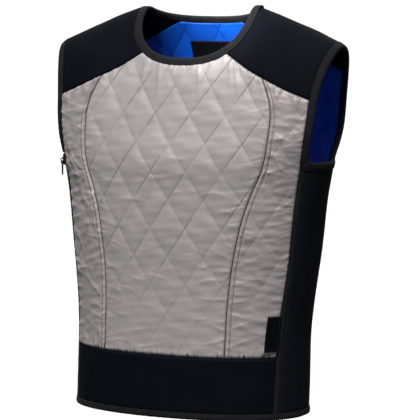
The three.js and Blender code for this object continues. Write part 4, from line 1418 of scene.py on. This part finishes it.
# The wearer's left peak of the collar stands a little prouder than the right one
def neckPath():
    turns = np.linspace(math.pi / 2 - 0.004, -math.pi / 2 + 0.004, 260)
    place = neckPlace(turns, vest["bindingWidth"])
    over = turnAt(place)
    across = np.maximum(place["across"], 0.6)
    left = shoulderPoint(across, over)
    ways = shoulderNormal(across, over)
    fromPeak = np.linalg.norm(left - left[left[:, 2].argmax()], axis=1)
    lift = bindingShape["peakLift"] * np.exp(-(fromPeak / bindingShape["peakReach"]) ** 2)
    points = np.concatenate([left + lift[:, None] * np.array([0, 0, 1]), left[::-1] * flip])
    return points, np.concatenate([ways, ways[::-1] * flip])


def armholePath(frontLowest, margin):
    lowFront = float(turnAt(edgePlace(frontLowest, False)))
    lowBack = float(turnAt(edgePlace(armBandHeight, True)))
    over = np.linspace(lowFront, lowBack, 320)
    across = armAcrossAtTurn(over)
    backAngle = float(angleAtAcross(sideEdge(armBandHeight), armBandHeight, True))
    frontAngle = float(besideSideEdge(armBandHeight, margin))
    under = np.linspace(backAngle, frontAngle, 60)[1:]
    points = np.concatenate([shoulderPoint(across, over), bodyPoint(under, armBandHeight)])
    return points, np.concatenate([shoulderNormal(across, over), bodyNormal(under, armBandHeight)])


def addHemBinding():
    angle = np.linspace(0, 2 * math.pi, 420, endpoint=False)
    top = bodyPoint(angle, vest["hemBindingWidth"])
    low = bodyPoint(angle, 0.3)
    ways = bodyNormal(angle, 4)
    width = vest["bindingWidth"]
    rings = [mix(top, low, across / width) + ways * out for across, out in bindingShape["profile"]]
    flatWidth = bindingShape["hemFlatWidth"]
    bindingTape("hemBinding", np.stack(rings, 1), runningLength(low), True, "hem_binding", flatWidth)


boundEdge("neckBinding", *neckPath(), True, "neck_binding", bindingShape["neckSmoothing"])
boundEdge("armholeBindingLeft", *armholePath(armBandHeight + 0.3, 0.5), True, "armhole_binding_left")
rightPoints, rightWays = armholePath(vest["underarmHeight"], 14.3)
boundEdge("armholeBindingRight", rightPoints * flip, rightWays * flip, False, "armhole_binding_right")


addHemBinding()
print("bindings made")

# Side zip: two woven tapes, moulded teeth that mesh, and the slider and pull from the solids
zipSizes = {
    "tape": 6.9,
    "gap": 0.2,
    "top": 359,
    "thickness": 1.2,
    "edgeSink": 0.35,
    "pitch": 2.6,
    "tooth": 2.6,
    "tall": 1.5,
    "proud": 1.2,
    "root": 0.9,
    "aside": 0.75,
    "aboveHem": 1.5,
    "belowTop": 13,
    "weld": 0.00001,
    "bevel": 0.00035,
}


def zipTape(name, distance, top, node):
    sheet = mirrored(stripSheet(8, 150, distance, zipSizes["tape"], top))
    room = edgeRoom(sheet["points"])
    lift = -zipSizes["edgeSink"] * (1 - within(room, 1.2))
    piece = wallBetween(name, sheet, lift, -zipSizes["thickness"], zipCloth, {"topstitch": room})
    return dress(piece, "vest", "zip_plastic", node)


# Every tooth is a small block of three squares, the last one smaller, to one side of the middle
def zipTeeth():
    first = vest["hemBindingWidth"] + zipSizes["aboveHem"]
    heights = np.arange(first, zipSizes["top"] - zipSizes["belowTop"], zipSizes["pitch"] / 2)
    angle = besideSideEdge(heights, zipSizes["tape"] + zipSizes["gap"] / 2)
    centres = bodyPoint(angle, heights) * flip
    ways = bodyNormal(angle, heights) * flip
    up = unit(np.gradient(centres, axis=0))
    beside = np.cross(ways, up)
    half, tall, proud = zipSizes["tooth"] / 2, zipSizes["tall"] / 2, zipSizes["proud"]
    levels = [(-zipSizes["root"], 1.0), (0.6 * proud, 1.0), (proud, 0.6)]
    points, faces = [], []
    for k in range(len(centres)):
        side = zipSizes["aside"] if k % 2 else -zipSizes["aside"]
        first = len(points)
        for out, share in levels:
            for x, z in ((-1, -1), (1, -1), (1, 1), (-1, 1)):
                reach = beside[k] * (side + x * half * share) + up[k] * z * tall * share
                points.append(centres[k] + reach + ways[k] * out)
        for level in (first, first + 4):
            for corner in range(4):
                here = level + corner
                onward = level + (corner + 1) % 4
                faces.append([here, onward, onward + 4, here + 4])
        faces.append([first + 8, first + 9, first + 10, first + 11])
        faces.append([first + 3, first + 2, first + 1, first])
    piece = makeMesh("zipTeeth", toFrame(np.array(points)), np.array(faces))
    outwards(piece)
    piece.data.materials.append(blackPlastic)
    return dress(piece, "vest", "zip_plastic", "zip_teeth")


zipTrims = [
    zipTape("zipTapeFront", 0, vest["underarmHeight"] + 2, "zip_tape_front"),
    zipTape("zipTapeBack", zipSizes["tape"] + zipSizes["gap"], armBandHeight + 2, "zip_tape_back"),
    zipTeeth(),
]
declareSheet(sidePanelRight, rightSide["points"], "stretched", trims=zipTrims)
for node in ("zip_slider", "zip_pull"):
    piece = frame["nodes"][node]
    weld = piece.modifiers.new("weld", "WELD")
    weld.merge_threshold = zipSizes["weld"]
    bevel = piece.modifiers.new("round", "BEVEL")
    bevel.width = zipSizes["bevel"]
    bevel.segments = 3
    bevel.angle_limit = math.radians(35)
    piece.data.materials.clear()
    piece.data.materials.append(blackPlastic)
print("zip made")

# Bare woven label inside the back, and a bare folded tab at the side seam
labelSizes = {
    "width": 86,
    "height": 30,
    "drop": 34,
    "depth": 5.85,
    "thickness": 0.8,
    "curl": 1.2,
    "ripple": 0.25,
}
tabSizes = {"width": 20, "height": 50, "rise": 59, "room": 1.6, "thickness": 1.6, "fold": 1.2}


def addLabel():
    side, up = gridShares(60, 24)
    top = bodyLength - vest["backNeckDrop"] - labelSizes["drop"]
    height = top - labelSizes["height"] * (1 - up)
    girth = labelSizes["width"] * (side - 0.5)
    sheet = sheetOf(bodyPoint(angleAtGirth(-girth, height, True), height), girth, height)
    curl = labelSizes["curl"] * (1 - up) ** 2 + labelSizes["ripple"] * np.sin(side * 9) * (1 - up)
    depth = labelSizes["depth"] + curl
    inside = depth + labelSizes["thickness"]
    stitched = {"topstitch": edgeRoom(sheet["points"])}
    piece = wallBetween("neckLabel", sheet, -depth, -inside, blackLabel, stitched)
    dress(piece, "vest", "label_cloth", "neck_label")
    declareSheet(piece, sheet["points"], "hung", ["backLining"])


# The tab stands off more towards its folded edge
def addTab():
    side, up = gridShares(24, 48)
    top = vest["hemBandHeight"] + tabSizes["rise"]
    height = top - tabSizes["height"] * (1 - up)
    girth = frontSideGirth(height) - 0.3 - tabSizes["width"] * (1 - side)
    sheet = sheetOf(bodyPoint(angleAtGirth(girth, height, False), height), girth, height)
    room = edgeRooms(sheet["points"])
    fold = (1 - within(room["start"], tabSizes["fold"])) ** 2
    high = tabSizes["room"] + tabSizes["thickness"] + 1.6 * (1 - side) - 0.7 * fold
    low = tabSizes["room"] + 1.4 * (1 - side) + 0.3 * fold
    stitched = {"topstitch": np.minimum(np.minimum(room["low"], room["high"]), room["end"])}
    piece = wallBetween("sideTab", sheet, high, low, blackLabel, stitched)
    dress(piece, "vest", "label_cloth", "side_tab")
    declareSheet(piece, sheet["points"], "folded")


addLabel()
addTab()
print("label and tab made")

# Studio: a pale floor well below the hem, a wide soft sun above the front and a weaker one behind,
# three softboxes and an even sky
studio = {
    "floorHeight": -0.95,
    "floorSize": 400,
    "floorShade": 0.84,
    "skyStrength": 0.14,
    "skyShade": (0.9, 0.94, 1.0),
    "suns": [
        {"name": "frontSun", "from": (0.2, -0.82, 1.5),
         "strength": 3.05, "spread": 16, "shade": (1, 0.965, 0.95)},
        {"name": "backSun", "from": (-0.5, 0.9, 1.3),
         "strength": 1.3, "spread": 50, "shade": (1, 1, 1)},
    ],
    "softboxes": [
        {"name": "chestLight", "place": (0.1, -1.1, 0.8), "target": (0, 0, -0.1),
         "size": 0.9, "power": 1.5, "spread": 180},
        {"name": "collarLight", "place": (-0.04, -0.36, 0.26), "target": (0.045, 0.08, -0.045),
         "size": 0.05, "power": 0.19, "spread": 28},
        {"name": "leftLight", "place": (-0.32, -0.6, 0.5), "target": (0, 0, 0.05),
         "size": 0.3, "power": 1.1, "spread": 180},
    ],
}


def aimed(name, lamp, place, target):
    thing = bpy.data.objects.new(name, lamp)
    bpy.context.scene.collection.objects.link(thing)
    thing.location = place
    way = Vector(place) - Vector(target)
    thing.rotation_euler = way.to_track_quat("Z", "Y").to_euler()


def addFloor():
    bpy.ops.mesh.primitive_plane_add(size=studio["floorSize"], location=(0, 0, studio["floorHeight"]))
    floor = bpy.context.object
    floor.name = "floor"
    material, nodes = newMaterial("pale floor", Roughness=0.9, Specular_IOR_Level=0.1)
    place = nodes.add("ShaderNodeTexCoord").outputs["Object"]
    shade = studio["floorShade"]
    pale = nodes.colour(nodes.noise(place, 3, 3), (shade,) * 3, (shade * 1.03,) * 3)
    nodes.link(pale, nodes.shader.inputs["Base Color"])
    floor.data.materials.append(material)
    floor.visible_diffuse = False  # so that no light is thrown up from below
    floor.visible_glossy = False
    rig.stage(floor)


# The sky looks white, and lights the vest only dimly, so that black cloth stays black
def addSky():
    world = bpy.data.worlds.new("studio")
    world.use_nodes = True
    tree = world.node_tree
    seen = tree.nodes.new("ShaderNodeLightPath").outputs["Is Camera Ray"]
    strength = tree.nodes.new("ShaderNodeMapRange")
    tree.links.new(seen, strength.inputs["Value"])
    strength.inputs["To Min"].default_value = studio["skyStrength"]
    strength.inputs["To Max"].default_value = 1.0
    sky = tree.nodes["Background"]
    shade = tree.nodes.new("ShaderNodeMix")
    shade.data_type = "RGBA"
    tree.links.new(seen, shade.inputs["Factor"])
    shade.inputs["A"].default_value = (*studio["skyShade"], 1)
    shade.inputs["B"].default_value = (1, 1, 1, 1)
    tree.links.new(shade.outputs["Result"], sky.inputs["Color"])
    tree.links.new(strength.outputs["Result"], sky.inputs["Strength"])
    bpy.context.scene.world = world


def addStudio():
    addFloor()
    addSky()
    for sun in studio["suns"]:
        lamp = bpy.data.lights.new(sun["name"], "SUN")
        lamp.energy = sun["strength"]
        lamp.angle = math.radians(sun["spread"])
        lamp.color = sun["shade"]
        aimed(sun["name"], lamp, sun["from"], (0, 0, 0))
    for box in studio["softboxes"]:
        lamp = bpy.data.lights.new(box["name"], "AREA")
        lamp.size = box["size"]
        lamp.energy = box["power"]
        lamp.spread = math.radians(box["spread"])
        aimed(box["name"], lamp, box["place"], box["target"])
    bpy.context.scene.view_settings.view_transform = "Standard"


addStudio()
print("studio made")

seenBox = [list(corner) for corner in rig.bounds()]
with open("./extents.json", "w") as sizeFile:
    json.dump({"cad": cadBox, "visual": seenBox}, sizeFile)
